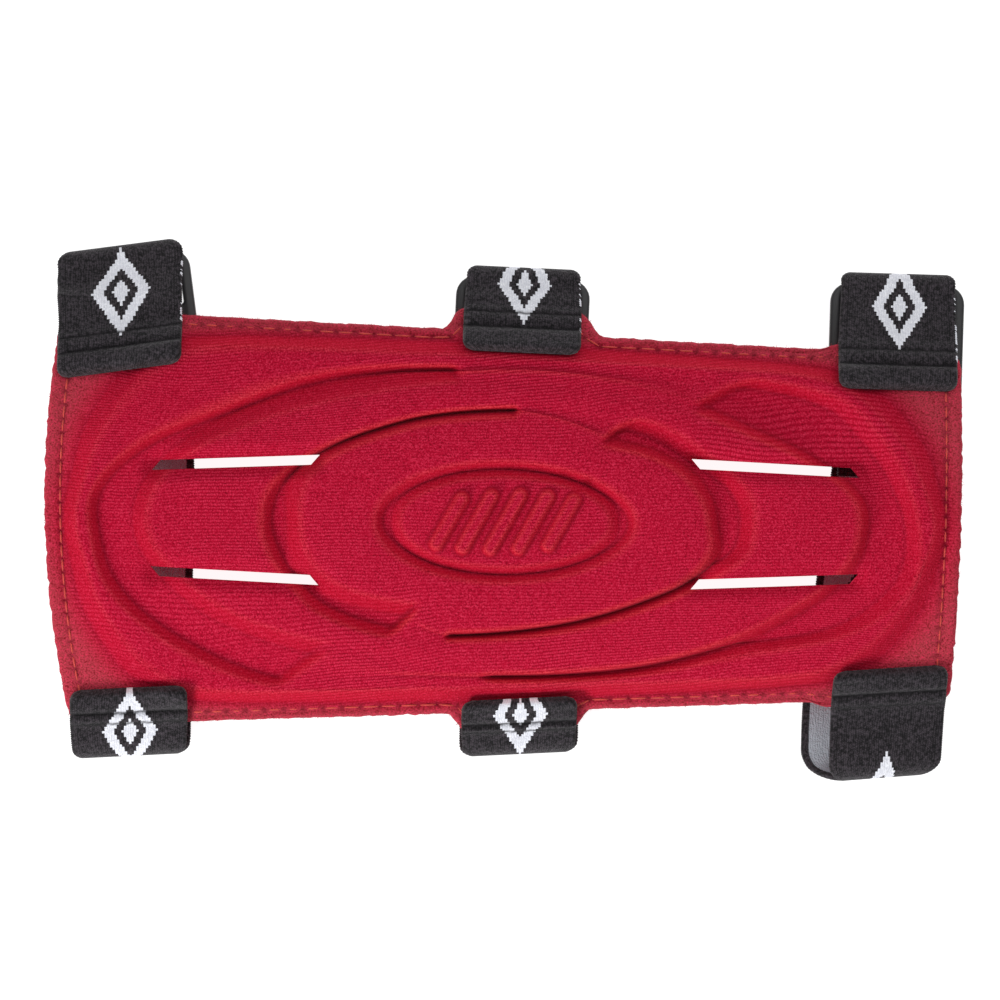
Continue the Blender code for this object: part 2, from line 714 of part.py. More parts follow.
def centre(pieces):
    """Parents the pieces to an empty that puts the middle of their plan at the origin."""
    bpy.context.view_layer.update()
    points = [piece.matrix_world @ v.co for piece in pieces for v in piece.data.vertices]
    middle = [(min(p[i] for p in points) + max(p[i] for p in points)) / 2 for i in (0, 1)]
    guard = bpy.data.objects.new("guard", None)
    bpy.context.scene.collection.objects.link(guard)
    guard.location = (-middle[0], -middle[1], 0.0)
    for piece in pieces:
        piece.parent = guard


def main():
    """Builds the arm guard."""
    for old in list(bpy.data.objects):
        bpy.data.objects.remove(old)
    red_knit = material("red_knit", (0.55, 0.012, 0.022), 0.85)
    black_elastic = material("black_elastic", (0.018, 0.017, 0.019), 0.9)
    black_plastic = material("black_plastic", (0.03, 0.03, 0.032), 0.35)
    panel = add_object("moulded_panel", panel_mesh(), red_knit)
    pieces = [panel]
    for end in (-1, 1):
        for side in (-1, 1):
            cutter = add_cutter(f"slot_{end}_{side}", slot_mesh(end, side))
            cutter.parent = panel
            subtract(panel, cutter)
    for s in STATIONS:
        if s.side > 0:
            pieces.append(add_object("tab_" + s.name, tab_mesh(s), black_elastic))
            pieces.append(add_slider(s, black_plastic))
        else:
            pieces.append(add_object("strap_" + s.name, strap_mesh(s), black_elastic))
    centre(pieces)


main()
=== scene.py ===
"""Dresses the arm guard: knit-covered moulded panel, elastic tapes, plastic sliders and seams.

Metres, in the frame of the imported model. +X runs from the wide end of the panel to the narrow
one, +Y points at the edge that carries the sliders and +Z is up from the table.
"""

from __future__ import annotations

import logging
import math
from dataclasses import dataclass, field
from enum import Enum
from typing import NamedTuple, Sequence

import bmesh
import bpy
import numpy as np
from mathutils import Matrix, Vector

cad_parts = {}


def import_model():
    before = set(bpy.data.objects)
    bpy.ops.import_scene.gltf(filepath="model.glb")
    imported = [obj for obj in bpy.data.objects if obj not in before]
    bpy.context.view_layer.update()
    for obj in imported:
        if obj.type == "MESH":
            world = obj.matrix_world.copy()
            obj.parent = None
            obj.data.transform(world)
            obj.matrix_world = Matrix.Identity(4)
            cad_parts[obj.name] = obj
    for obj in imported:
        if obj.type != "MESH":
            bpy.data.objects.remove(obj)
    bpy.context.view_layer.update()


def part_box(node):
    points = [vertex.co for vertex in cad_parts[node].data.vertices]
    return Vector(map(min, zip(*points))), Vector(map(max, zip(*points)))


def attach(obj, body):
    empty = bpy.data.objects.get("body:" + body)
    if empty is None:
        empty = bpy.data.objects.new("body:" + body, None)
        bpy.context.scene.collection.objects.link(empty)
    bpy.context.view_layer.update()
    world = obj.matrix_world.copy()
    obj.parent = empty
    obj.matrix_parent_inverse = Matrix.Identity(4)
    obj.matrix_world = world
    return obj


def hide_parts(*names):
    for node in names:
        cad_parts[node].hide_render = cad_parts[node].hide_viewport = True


LOG = logging.getLogger("arm_guard")
BODY = "root"
Colour = tuple[float, float, float]


class Side(Enum):
    """A long edge of the panel."""

    SLIDERS = 1
    FOLDS = -1


class Resting(Enum):
    """What a section of tape lies on."""

    FREE = 0
    FACE = 1
    OVER_EDGE = 2
    UNDER_EDGE = 3
    UNDERSIDE = 4


class Station(NamedTuple):
    """Where and how a tape crosses the panel's edge, in degrees and in shares of named sizes.

    motif says where the woven motif starts, in tape widths, and rounding is the radius of the far
    corners, in metres. ear is the panel's ear that carries the tape, tuck how far its flanks lie
    behind the tape, and sweep how far the tape swings aside.
    """

    name: str
    side: Side
    x: float
    turn: float
    skew: float
    hem: float
    reach: float
    motif: float
    rounding: float
    hem_width: float
    turn_width: float
    ear: float = 0.0
    tuck: float = 0.0
    sweep: float = 0.0


class EndCurve(NamedTuple):
    """Curve of an end of the panel, as shares of its width."""

    crown: float
    drop: float
    lean: float


class Rim(NamedTuple):
    """Edge of the moulded field at an angle, as a share of the field's half sizes."""

    angle: float
    share: float


class Channel(NamedTuple):
    """A channel at an angle: its two edges as shares, and the share of its full depth."""

    angle: float
    inner: float
    outer: float
    depth: float


STATIONS = (
    Station(
        "left", Side.SLIDERS, x=-0.857, turn=1.0, skew=7.0, hem=1.00, reach=0.897, motif=0.10,
        rounding=0.0024, hem_width=1.040, turn_width=1.058, sweep=-0.008,
    ),
    Station(
        "middle", Side.SLIDERS, x=0.034, turn=-1.0, skew=-1.0, hem=0.70, reach=0.598, motif=0.16,
        rounding=0.0016, hem_width=0.980, turn_width=0.955, ear=1.0,
    ),
    Station(
        "right", Side.SLIDERS, x=0.866, turn=-1.0, skew=-0.1, hem=0.71, reach=1.000, motif=0.04,
        rounding=0.0014, hem_width=0.990, turn_width=0.958, ear=0.26,
    ),
    Station(
        "left", Side.FOLDS, x=-0.828, turn=0.0, skew=3.5, hem=0.60, reach=0.456, motif=0.42,
        rounding=0.0015, hem_width=0.980, turn_width=0.940,
    ),
    Station(
        "middle", Side.FOLDS, x=0.036, turn=0.0, skew=3.4, hem=0.55, reach=0.332, motif=0.69,
        rounding=0.0015, hem_width=0.960, turn_width=0.925, ear=0.9, tuck=0.4,
    ),
    Station(
        "right", Side.FOLDS, x=0.853, turn=-2.0, skew=6.0, hem=0.63, reach=0.985, motif=1.205,
        rounding=0.0036, hem_width=0.955, turn_width=0.935, ear=0.26, sweep=-0.20,
    ),
)  # fmt: skip

FIELD_EDGE = (
    Rim(0, 1.013), Rim(15, 1.022), Rim(30, 1.085), Rim(38, 1.135), Rim(44, 1.180),
    Rim(52, 1.212), Rim(58, 1.165), Rim(65, 1.095), Rim(76, 1.025), Rim(90, 1.000),
)  # fmt: skip

GROOVE = (
    Channel(-20, 0.527, 0.592, 1), Channel(0, 0.497, 0.577, 1), Channel(23, 0.512, 0.602, 1),
    Channel(43, 0.547, 0.635, 1), Channel(55, 0.560, 0.682, 1), Channel(63, 0.556, 0.700, 1),
    Channel(68, 0.560, 0.660, 0), Channel(87, 0.655, 0.690, 0), Channel(89, 0.653, 0.687, 1),
    Channel(107, 0.625, 0.656, 1), Channel(120, 0.594, 0.624, 1), Channel(140, 0.562, 0.594, 1),
    Channel(161, 0.517, 0.573, 1), Channel(180, 0.494, 0.560, 1), Channel(200, 0.512, 0.576, 1),
    Channel(218, 0.550, 0.620, 1), Channel(230, 0.562, 0.670, 1), Channel(246, 0.556, 0.706, 1),
    Channel(250, 0.560, 0.706, 0), Channel(258, 0.679, 0.710, 0), Channel(260, 0.678, 0.708, 1),
    Channel(282, 0.628, 0.664, 1), Channel(303, 0.580, 0.612, 1), Channel(322, 0.557, 0.588, 1),
)  # fmt: skip

CHANNEL = (
    Channel(-5, 0.860, 0.972, 1), Channel(11, 0.862, 0.967, 1), Channel(24, 0.857, 1.000, 1),
    Channel(35, 0.855, 1.050, 1), Channel(46, 0.860, 1.118, 1), Channel(56, 0.874, 1.095, 1),
    Channel(61, 0.880, 1.040, 0), Channel(96, 0.864, 0.926, 0), Channel(99, 0.861, 0.929, 1),
    Channel(115, 0.834, 0.942, 1), Channel(136, 0.828, 0.910, 1), Channel(154, 0.846, 0.944, 1),
    Channel(171, 0.858, 0.966, 1), Channel(187, 0.858, 0.963, 1), Channel(203, 0.848, 0.988, 1),
    Channel(222, 0.853, 1.025, 1), Channel(238, 0.851, 1.062, 1), Channel(243, 0.852, 1.060, 0),
    Channel(265, 0.922, 0.950, 0), Channel(270, 0.922, 0.952, 1), Channel(289, 0.940, 0.985, 1),
    Channel(303, 0.922, 0.985, 1), Channel(318, 0.900, 1.060, 0.8), Channel(332, 0.885, 1.040, 0.8),
)  # fmt: skip


def smooth_step(t: float | np.ndarray) -> float | np.ndarray:
    """Eases a share from 0 to 1, level at both ends."""
    t = np.clip(t, 0.0, 1.0)
    return t * t * (3 - 2 * t)


def between(low: float | np.ndarray, high: float | np.ndarray, share: float) -> float | np.ndarray:
    """The value at a share of the way from one to another."""
    return low + (high - low) * share


def cubic(
    t: float | np.ndarray,
    start: float | np.ndarray,
    start_rise: float | np.ndarray,
    stop: float | np.ndarray,
    stop_rise: float | np.ndarray,
) -> float | np.ndarray:
    """Value at a share t of a span, from the values and the rises at its two ends."""
    return (
        (2 * t**3 - 3 * t**2 + 1) * start
        + (t**3 - 2 * t**2 + t) * start_rise
        + (3 * t**2 - 2 * t**3) * stop
        + (t**3 - t**2) * stop_rise
    )


def closed_curve(rows: Sequence, angle: float, column: str, period: float = 360.0) -> float:
    """Reads a closed table along a smooth curve through its rows.

    Args:
        rows: rows with an angle, in rising order.
        angle: where to read, in degrees.
        column: name of the column to read.
        period: angle after which the table repeats.

    Returns:
        The column's value at the angle.
    """
    count = len(rows)
    angle = (angle - rows[0].angle) % period + rows[0].angle

    def row(i: int) -> tuple[float, float]:
        """Angle and value of a row, counted on past either end."""
        turns, index = divmod(i, count)
        return rows[index].angle + turns * period, getattr(rows[index], column)

    i = max(k for k in range(count) if rows[k].angle <= angle)
    (a0, v0), (a1, v1), (a2, v2), (a3, v3) = (row(i + k) for k in (-1, 0, 1, 2))
    span = a2 - a1
    t = (angle - a1) / span
    m1 = (v2 - v0) / (a2 - a0) * span
    m2 = (v3 - v1) / (a3 - a1) * span
    return cubic(t, v1, m1, v2, m2)


def soft_noise(x: np.ndarray, y: np.ndarray, wavelength: float, seed: int) -> np.ndarray:
    """Smooth noise from a few crossed waves.

    Args:
        x: places along X, in metres.
        y: places along Y, in metres.
        wavelength: rough distance between its swells, in metres.
        seed: picks the waves.

    Returns:
        Values between about -1 and 1.
    """
    rng = np.random.default_rng(seed)
    total = np.zeros_like(np.asarray(x, dtype=float))
    for _ in range(9):
        heading = rng.uniform(0, 2 * math.pi)
        wave = 2 * math.pi / (wavelength * rng.uniform(0.7, 1.5))
        phase = rng.uniform(0, 2 * math.pi)
        total = total + np.sin(wave * (x * math.cos(heading) + y * math.sin(heading)) + phase)
    return total / 4.5


def arc(centre: tuple[float, float], radius: float, start: float, stop: float, steps: int) -> list:
    """Points on an arc, with its angles in degrees."""
    turns = [math.radians(start + (stop - start) * i / steps) for i in range(steps + 1)]
    return [(centre[0] + radius * math.cos(a), centre[1] + radius * math.sin(a)) for a in turns]


def new_mesh(
    name: str,
    points: np.ndarray,
    faces: Sequence[Sequence[int]],
    uv: np.ndarray | None = None,
) -> bpy.types.Object:
    """Makes a smooth-shaded mesh object at the origin.

    Args:
        name: the object's name.
        points: one row of x, y and z for each vertex.
        faces: vertex numbers of each face.
        uv: one row of u and v for each vertex, if the piece has a pattern that follows it.

    Returns:
        The linked object.
    """
    mesh = bpy.data.meshes.new(name)
    mesh.from_pydata(points.tolist(), [], [list(map(int, f)) for f in faces])
    if uv is not None:
        layer = mesh.uv_layers.new(name="weave")
        corners = np.empty(len(mesh.loops), dtype=np.int32)
        mesh.loops.foreach_get("vertex_index", corners)
        layer.data.foreach_set("uv", uv[corners].astype(np.float32).ravel())
    mesh.shade_smooth()
    made = bpy.data.objects.new(name, mesh)
    bpy.context.scene.collection.objects.link(made)
    return made


def set_attribute(piece: bpy.types.Object, name: str, values: np.ndarray) -> None:
    """Stores one number for each vertex of a piece under a name."""
    made = piece.data.attributes.new(name=name, type="FLOAT", domain="POINT")
    made.data.foreach_set("value", values.astype(np.float32))


def vertices_of(piece: bpy.types.Object) -> np.ndarray:
    """A piece's vertices, one row of x, y and z for each."""
    points = np.empty(len(piece.data.vertices) * 3, dtype=np.float32)
    piece.data.vertices.foreach_get("co", points)
    return points.reshape(-1, 3).astype(float)


def deselect_all() -> None:
    """Leaves nothing selected and nothing active."""
    bpy.ops.object.select_all(action="DESELECT")
    bpy.context.view_layer.objects.active = None


def make_active(piece: bpy.types.Object) -> None:
    """Selects one piece alone and makes it active."""
    deselect_all()
    piece.select_set(True)
    bpy.context.view_layer.objects.active = piece


def cut_away(piece: bpy.types.Object, cutter: bpy.types.Object) -> None:
    """Cuts a cutter's shape out of a piece and removes the cutter."""
    make_active(piece)
    cut = piece.modifiers.new("cut", "BOOLEAN")
    cut.object = cutter
    cut.operation = "DIFFERENCE"
    cut.solver = "EXACT"
    bpy.ops.object.modifier_apply(modifier=cut.name)
    bpy.data.objects.remove(cutter)


def face_outwards(piece: bpy.types.Object) -> None:
    """Turns all of a closed piece's faces outwards."""
    bm = bmesh.new()
    bm.from_mesh(piece.data)
    bmesh.ops.recalc_face_normals(bm, faces=bm.faces)
    bm.to_mesh(piece.data)
    bm.free()


def tube_faces(first: int, rings: int, sides: int) -> list[tuple[int, ...]]:
    """Faces of a closed tube.

    Args:
        first: number of its first vertex.
        rings: how many rings of vertices it has.
        sides: how many vertices each ring has.

    Returns:
        Vertex numbers of the sides, ring by ring, and of the two caps.
    """
    faces = []
    for i in range(rings - 1):
        a, b = first + i * sides, first + (i + 1) * sides
        for k in range(sides):
            j = (k + 1) % sides
            faces.append((a + k, a + j, b + j, b + k))
    last = first + (rings - 1) * sides
    faces.append(tuple(first + k for k in reversed(range(sides))))
    faces.append(tuple(last + k for k in range(sides)))
    return faces


class Nodes:
    """A new material's node tree, with short calls for the nodes that the finishes use."""

    def __init__(self, name: str) -> None:
        """Makes the material with its own Principled shader."""
        self.material = bpy.data.materials.new(name)
        self.material.use_nodes = True
        self.tree = self.material.node_tree
        self.shader = self.tree.nodes["Principled BSDF"]

    def add(self, kind: str, inputs: dict | None = None, **settings) -> bpy.types.Node:
        """Adds a node.

        Args:
            kind: the node type's name after ShaderNode.
            inputs: values or outputs for its inputs, by name or number.
            **settings: values for its own properties.

        Returns:
            The node.
        """
        node = self.tree.nodes.new("ShaderNode" + kind)
        for key, value in settings.items():
            setattr(node, key, value)
        for key, value in (inputs or {}).items():
            self.feed(node.inputs[key], value)
        return node

    def feed(self, socket: bpy.types.NodeSocket, value: object) -> None:
        """Links an output to a socket, or sets the socket's value."""
        if isinstance(value, bpy.types.NodeSocket):
            self.tree.links.new(value, socket)
        else:
            socket.default_value = value

    def calc(self, operation: str, *values: object, clamp: bool = False) -> bpy.types.NodeSocket:
        """Output of a Math node on one to three values."""
        inputs = dict(enumerate(values))
        return self.add("Math", inputs, operation=operation, use_clamp=clamp).outputs[0]

    def times(self, a: object, b: object, clamp: bool = False) -> bpy.types.NodeSocket:
        """Output of a product."""
        return self.calc("MULTIPLY", a, b, clamp=clamp)

    def plus(self, a: object, b: object, clamp: bool = False) -> bpy.types.NodeSocket:
        """Output of a sum."""
        return self.calc("ADD", a, b, clamp=clamp)

    def minus(self, a: object, b: object) -> bpy.types.NodeSocket:
        """Output of a difference."""
        return self.calc("SUBTRACT", a, b)

    def hump(self, value: object) -> bpy.types.NodeSocket:
        """Output that swells from 0 to 1 and back once for every unit of a value."""
        return self.calc("SINE", self.times(self.calc("FRACT", value), math.pi))

    def blend(self, share: object, low: object, high: object) -> bpy.types.NodeSocket:
        """Output that mixes two colours by a share."""
        node = self.add("Mix", data_type="RGBA")
        self.feed(node.inputs[0], share)
        self.feed(node.inputs[6], low)
        self.feed(node.inputs[7], high)
        return node.outputs[2]

    def noise(self, vector: object, scale: float, detail: float = 2.0) -> bpy.types.NodeSocket:
        """Output of a Noise texture."""
        inputs = {"Vector": vector, "Scale": scale, "Detail": detail}
        return self.add("TexNoise", inputs).outputs["Fac"]

    def attribute(self, name: str) -> bpy.types.NodeSocket:
        """Output that reads a number stored on the mesh."""
        return self.add("Attribute", attribute_name=name).outputs["Fac"]

    def set(self, **values: object) -> None:
        """Feeds the shader's inputs, named with underscores for spaces."""
        for key, value in values.items():
            self.feed(self.shader.inputs[key.replace("_", " ")], value)

    def bump(self, height: object, distance: float, strength: float = 1.0) -> None:
        """Feeds the shader's normal from a height."""
        inputs = {"Height": height, "Distance": distance, "Strength": strength}
        self.set(Normal=self.add("Bump", inputs).outputs["Normal"])


def rgba(colour: Colour) -> tuple[float, float, float, float]:
    """A colour with full alpha."""
    return (*colour, 1.0)


@dataclass(frozen=True)
class KnitFinish:
    """Weft knit bonded to foam: small loops, open on crests, pulled taut and bright on walls, with a
    painted highlight along the crests and painted shade in the creases and needle holes.
    """

    name: str = "red_knit"
    ground: Colour = (0.440, 0.0007, 0.0245)
    loop: Colour = (0.750, 0.0350, 0.0960)
    valley: Colour = (0.210, 0.0005, 0.0085)
    border: Colour = (0.410, 0.0400, 0.0570)
    # painted shade in the seam's needle holes
    pinhole_shade: Colour = (0.08, 0.002, 0.005)
    # painted highlight along the relief's crests, partly the lighter look of knit loops opened there
    crest: Colour = (0.900, 0.0900, 0.0900)
    # painted shade in the relief's creases
    crease_shade: Colour = (0.120, 0.0003, 0.0060)
    taut: Colour = (0.540, 0.0006, 0.0120)
    course_pitch: float = 0.00066
    loop_pitch: float = 0.00048
    roughness: float = 0.9

    def surface(self, n: Nodes, place: object, moulded: object) -> bpy.types.NodeSocket:
        """Height of the knit's face.

        Args:
            n: the tree to add to.
            place: the object's own coordinates.
            moulded: 1 on the moulded field and 0 on the border.

        Returns:
            Staggered loops in courses on the moulded field, and plain pile on the border.
        """
        axes = n.add("SeparateXYZ", {0: place}).outputs
        drift = n.times(n.minus(n.noise(place, 34.0, 1.0), 0.5), 0.0040)
        across = n.plus(n.plus(axes[1], drift), n.attribute("pull"))
        wavy = n.times(n.noise(place, 1300.0, 1.0), 0.55)
        course = n.plus(n.times(across, 1.0 / self.course_pitch), wavy)
        stagger = n.times(n.calc("FLOOR", course), 0.5)
        uneven = n.times(n.noise(place, 900.0, 1.0), 2.4)
        along_rows = n.times(axes[0], 1.0 / self.loop_pitch)
        loops = n.hump(n.plus(n.plus(along_rows, stagger), uneven))
        stitch = n.times(n.hump(course), n.plus(n.times(loops, 0.6), 0.4))
        pile = n.plus(n.times(n.noise(place, 2900.0, 2.0), 1.9), -0.47)
        patches = n.plus(n.times(n.noise(place, 45.0, 2.0), 1.8), -0.25, clamp=True)
        mixed = n.add("Mix", data_type="FLOAT")
        n.feed(mixed.inputs[0], n.times(n.times(moulded, patches), 0.62))
        n.feed(mixed.inputs[2], pile)
        n.feed(mixed.inputs[3], stitch)
        return mixed.outputs[0]

    def colour(self, n: Nodes, height: object, moulded: object) -> bpy.types.NodeSocket:
        """Colour of the knit by its own height, then by the relief that it lies on: a painted highlight
        on its crests and painted shade in its creases and needle holes.
        """
        ground = n.blend(moulded, rgba(self.border), rgba(self.ground))
        high = n.times(n.minus(height, 0.58), 3.2, clamp=True)
        low = n.times(n.minus(0.57, height), 4.0, clamp=True)
        raised = n.blend(n.times(high, 0.80), ground, rgba(self.loop))
        shaded = n.blend(n.times(low, 0.85), raised, rgba(self.valley))
        relief = n.attribute("relief")
        taut = n.blend(n.times(n.attribute("wall"), 0.36), shaded, rgba(self.taut))
        # painted highlight on the crests, partly the opened loops of stretched knit
        crest_highlight_share = n.times(relief, n.plus(n.times(height, 0.90), -0.36))
        crest_highlighted = n.blend(n.calc("MAXIMUM", crest_highlight_share, 0.0), taut, rgba(self.crest))
        # painted shade in the creases
        sunk = n.blend(n.times(relief, -0.50, clamp=True), crest_highlighted, rgba(self.crease_shade))
        # painted shade in the needle holes
        return n.blend(n.attribute("pinhole_shade"), sunk, rgba(self.pinhole_shade))

    def make(self) -> bpy.types.Material:
        """Builds the material."""
        n = Nodes(self.name)
        place = n.add("TexCoord").outputs["Object"]
        moulded = n.attribute("moulded")
        fuzz = n.times(n.noise(place, 2300.0, 3.0), 0.55)
        height = n.plus(n.times(self.surface(n, place, moulded), 0.7), fuzz)
        colour = self.colour(n, height, moulded)
        n.set(Base_Color=colour, Roughness=self.roughness, Sheen_Weight=0.10)
        n.set(Sheen_Roughness=0.4, Sheen_Tint=(1.0, 0.30, 0.38, 1.0), Specular_IOR_Level=0.12)
        n.bump(height, 0.00018, 0.8)
        return n.material


@dataclass(frozen=True)
class ThreadFinish:
    """Twisted sewing thread."""

    name: str
    colour: Colour
    shade: Colour
    twist_pitch: float = 0.00035

    def make(self) -> bpy.types.Material:
        """Builds the material."""
        n = Nodes(self.name)
        place = n.add("TexCoord").outputs["Object"]
        axes = n.add("SeparateXYZ", {0: place}).outputs
        slanted = n.plus(n.plus(axes[0], axes[1]), axes[2])
        turns = n.times(slanted, 2 * math.pi / self.twist_pitch)
        ply = n.plus(n.times(n.calc("SINE", turns), 0.5), 0.5)
        worn = n.plus(n.times(ply, 0.5), n.noise(place, 900.0), clamp=True)
        n.set(Base_Color=n.blend(worn, rgba(self.shade), rgba(self.colour)), Roughness=0.7)
        n.set(Sheen_Weight=0.2)
        n.bump(ply, 0.00005)
        return n.material


@dataclass(frozen=True)
class TapeFinish:
    """Jacquard elastic: uneven columns of small stitches with a woven lozenge, light behind, with
    painted shade in the hem seams' dents and along a groove line inside each selvedge.
    """

    name: str = "black_elastic"
    black: Colour = (0.0040, 0.0034, 0.0044)
    black_stitch: Colour = (0.084, 0.069, 0.083)
    white: Colour = (0.93, 0.94, 1.00)
    white_shade: Colour = (0.61, 0.62, 0.70)
    reverse_grey: Colour = (0.310, 0.345, 0.385)
    selvedge: float = 0.042
    ribs: float = 46.0
    picks: float = 50.0
    motif_every: float = 1.56
    motif_half_width: float = 0.25
    motif_half_length: float = 0.40

    def lozenge(self, n: Nodes, u: object, v: object) -> bpy.types.NodeSocket:
        """Mask of the woven motif: a lozenge outline around a small solid lozenge.

        Args:
            n: the tree to add to.
            u: place across the tape, from 0 to 1.
            v: place along the tape, in tape widths.

        Returns:
            An output that is 1 on the motif and 0 beside it.
        """
        stepped_u = n.calc("DIVIDE", n.calc("FLOOR", n.times(u, self.ribs)), self.ribs)
        stepped_v = n.calc("DIVIDE", n.calc("FLOOR", n.times(v, self.picks)), self.picks)
        aside = n.calc("ABSOLUTE", n.minus(stepped_u, 0.5))
        phase = n.calc("FLOORED_MODULO", stepped_v, self.motif_every)
        ahead = n.calc("ABSOLUTE", n.minus(phase, self.motif_every / 2))
        wide, long = self.motif_half_width, self.motif_half_length
        reach = n.plus(n.calc("DIVIDE", aside, wide), n.calc("DIVIDE", ahead, long))
        outline = n.calc("COMPARE", reach, 0.80, 0.20)
        core = n.calc("LESS_THAN", reach, 0.30)
        return n.calc("MAXIMUM", outline, core)

    def stitches(self, n: Nodes, place: object, u: object, v: object) -> bpy.types.NodeSocket:
        """Height of the woven stitches, in columns along the tape that noise leads astray."""
        wander = n.times(n.noise(place, 650.0, 2.0), 1.9)
        rib = n.plus(n.times(u, self.ribs), wander)
        stagger = n.times(n.calc("FLOOR", rib), 0.37)
        uneven = n.times(n.noise(place, 900.0, 1.0), 2.4)
        pick = n.plus(n.plus(n.times(v, self.picks), stagger), uneven)
        pebble = n.times(n.minus(n.noise(place, 1500.0, 2.0), 0.47), 2.3)
        woven = n.times(n.hump(rib), n.plus(n.times(n.hump(pick), 0.7), 0.3))
        return n.plus(n.times(woven, 0.62), pebble, clamp=True)

    def make(self) -> bpy.types.Material:
        """Builds the material."""
        n = Nodes(self.name)
        place = n.add("TexCoord").outputs["Object"]
        axes = n.add("SeparateXYZ", {0: n.add("UVMap", uv_map="weave").outputs[0]}).outputs
        u, v = axes[0], axes[1]
        stitch = self.stitches(n, place, u, v)
        fuzz = n.noise(place, 2400.0, 3.0)
        within = n.calc("COMPARE", u, 0.5, 0.5 - self.selvedge)
        behind = n.calc("GREATER_THAN", n.attribute("reverse"), 0.5)
        reverse = n.times(behind, within)
        turned = n.calc("ABSOLUTE", n.minus(self.lozenge(n, u, v), reverse))
        light = n.calc("MAXIMUM", turned, n.calc("GREATER_THAN", n.attribute("speck"), 0.5))
        lit = n.times(stitch, n.plus(fuzz, 0.2), clamp=True)
        dark = n.blend(lit, rgba(self.black), rgba(self.black_stitch))
        pale = n.blend(n.plus(lit, 0.35, clamp=True), rgba(self.white_shade), rgba(self.white))
        dull = n.blend(n.times(reverse, 0.85), pale, rgba(self.reverse_grey))
        cloth = n.blend(light, dark, dull)
        # painted shade: darkens the tape in the hem seams' dents and along a groove line just inside
        # each selvedge
        aside = n.calc("ABSOLUTE", n.minus(u, 0.5))
        beside = n.times(n.calc("COMPARE", aside, 0.5 - self.selvedge, 0.006), 0.6)
        sewn = n.blend(n.calc("MAXIMUM", n.attribute("seam"), beside), cloth, rgba(self.black))
        n.set(Base_Color=sewn, Roughness=0.85, Sheen_Weight=0.12)
        n.set(Sheen_Roughness=0.5, Specular_IOR_Level=0.25)
        n.bump(n.plus(stitch, n.times(fuzz, 0.35)), 0.00016, 0.8)
        return n.material


@dataclass(frozen=True)
class PlasticFinish:
    """Satin black moulded plastic with fine rub marks."""

    name: str = "black_plastic"
    colour: Colour = (0.014, 0.014, 0.016)
    rubbed: Colour = (0.036, 0.036, 0.038)

    def make(self) -> bpy.types.Material:
        """Builds the material."""
        n = Nodes(self.name)
        place = n.add("TexCoord").outputs["Object"]
        grain = n.noise(place, 1800.0, 4.0)
        rub = n.times(n.noise(place, 160.0, 3.0), 0.45)
        n.set(Base_Color=n.blend(rub, rgba(self.colour), rgba(self.rubbed)))
        n.set(Roughness=n.plus(n.times(grain, 0.18), 0.34))
        n.set(Specular_IOR_Level=0.5)
        n.bump(grain, 0.00002, 0.5)
        return n.material


@dataclass(frozen=True)
class PaperFinish:
    """White seamless paper, lit a little from within so that it stays white."""

    name: str = "white_paper"
    grey: Colour = (0.42, 0.42, 0.42)
    glow: float = 0.91

    def make(self) -> bpy.types.Material:
        """Builds the material."""
        n = Nodes(self.name)
        n.set(Base_Color=rgba(self.grey), Roughness=0.95, Specular_IOR_Level=0.0)
        n.set(Emission_Color=(1.0, 1.0, 1.0, 1.0), Emission_Strength=self.glow)
        return n.material


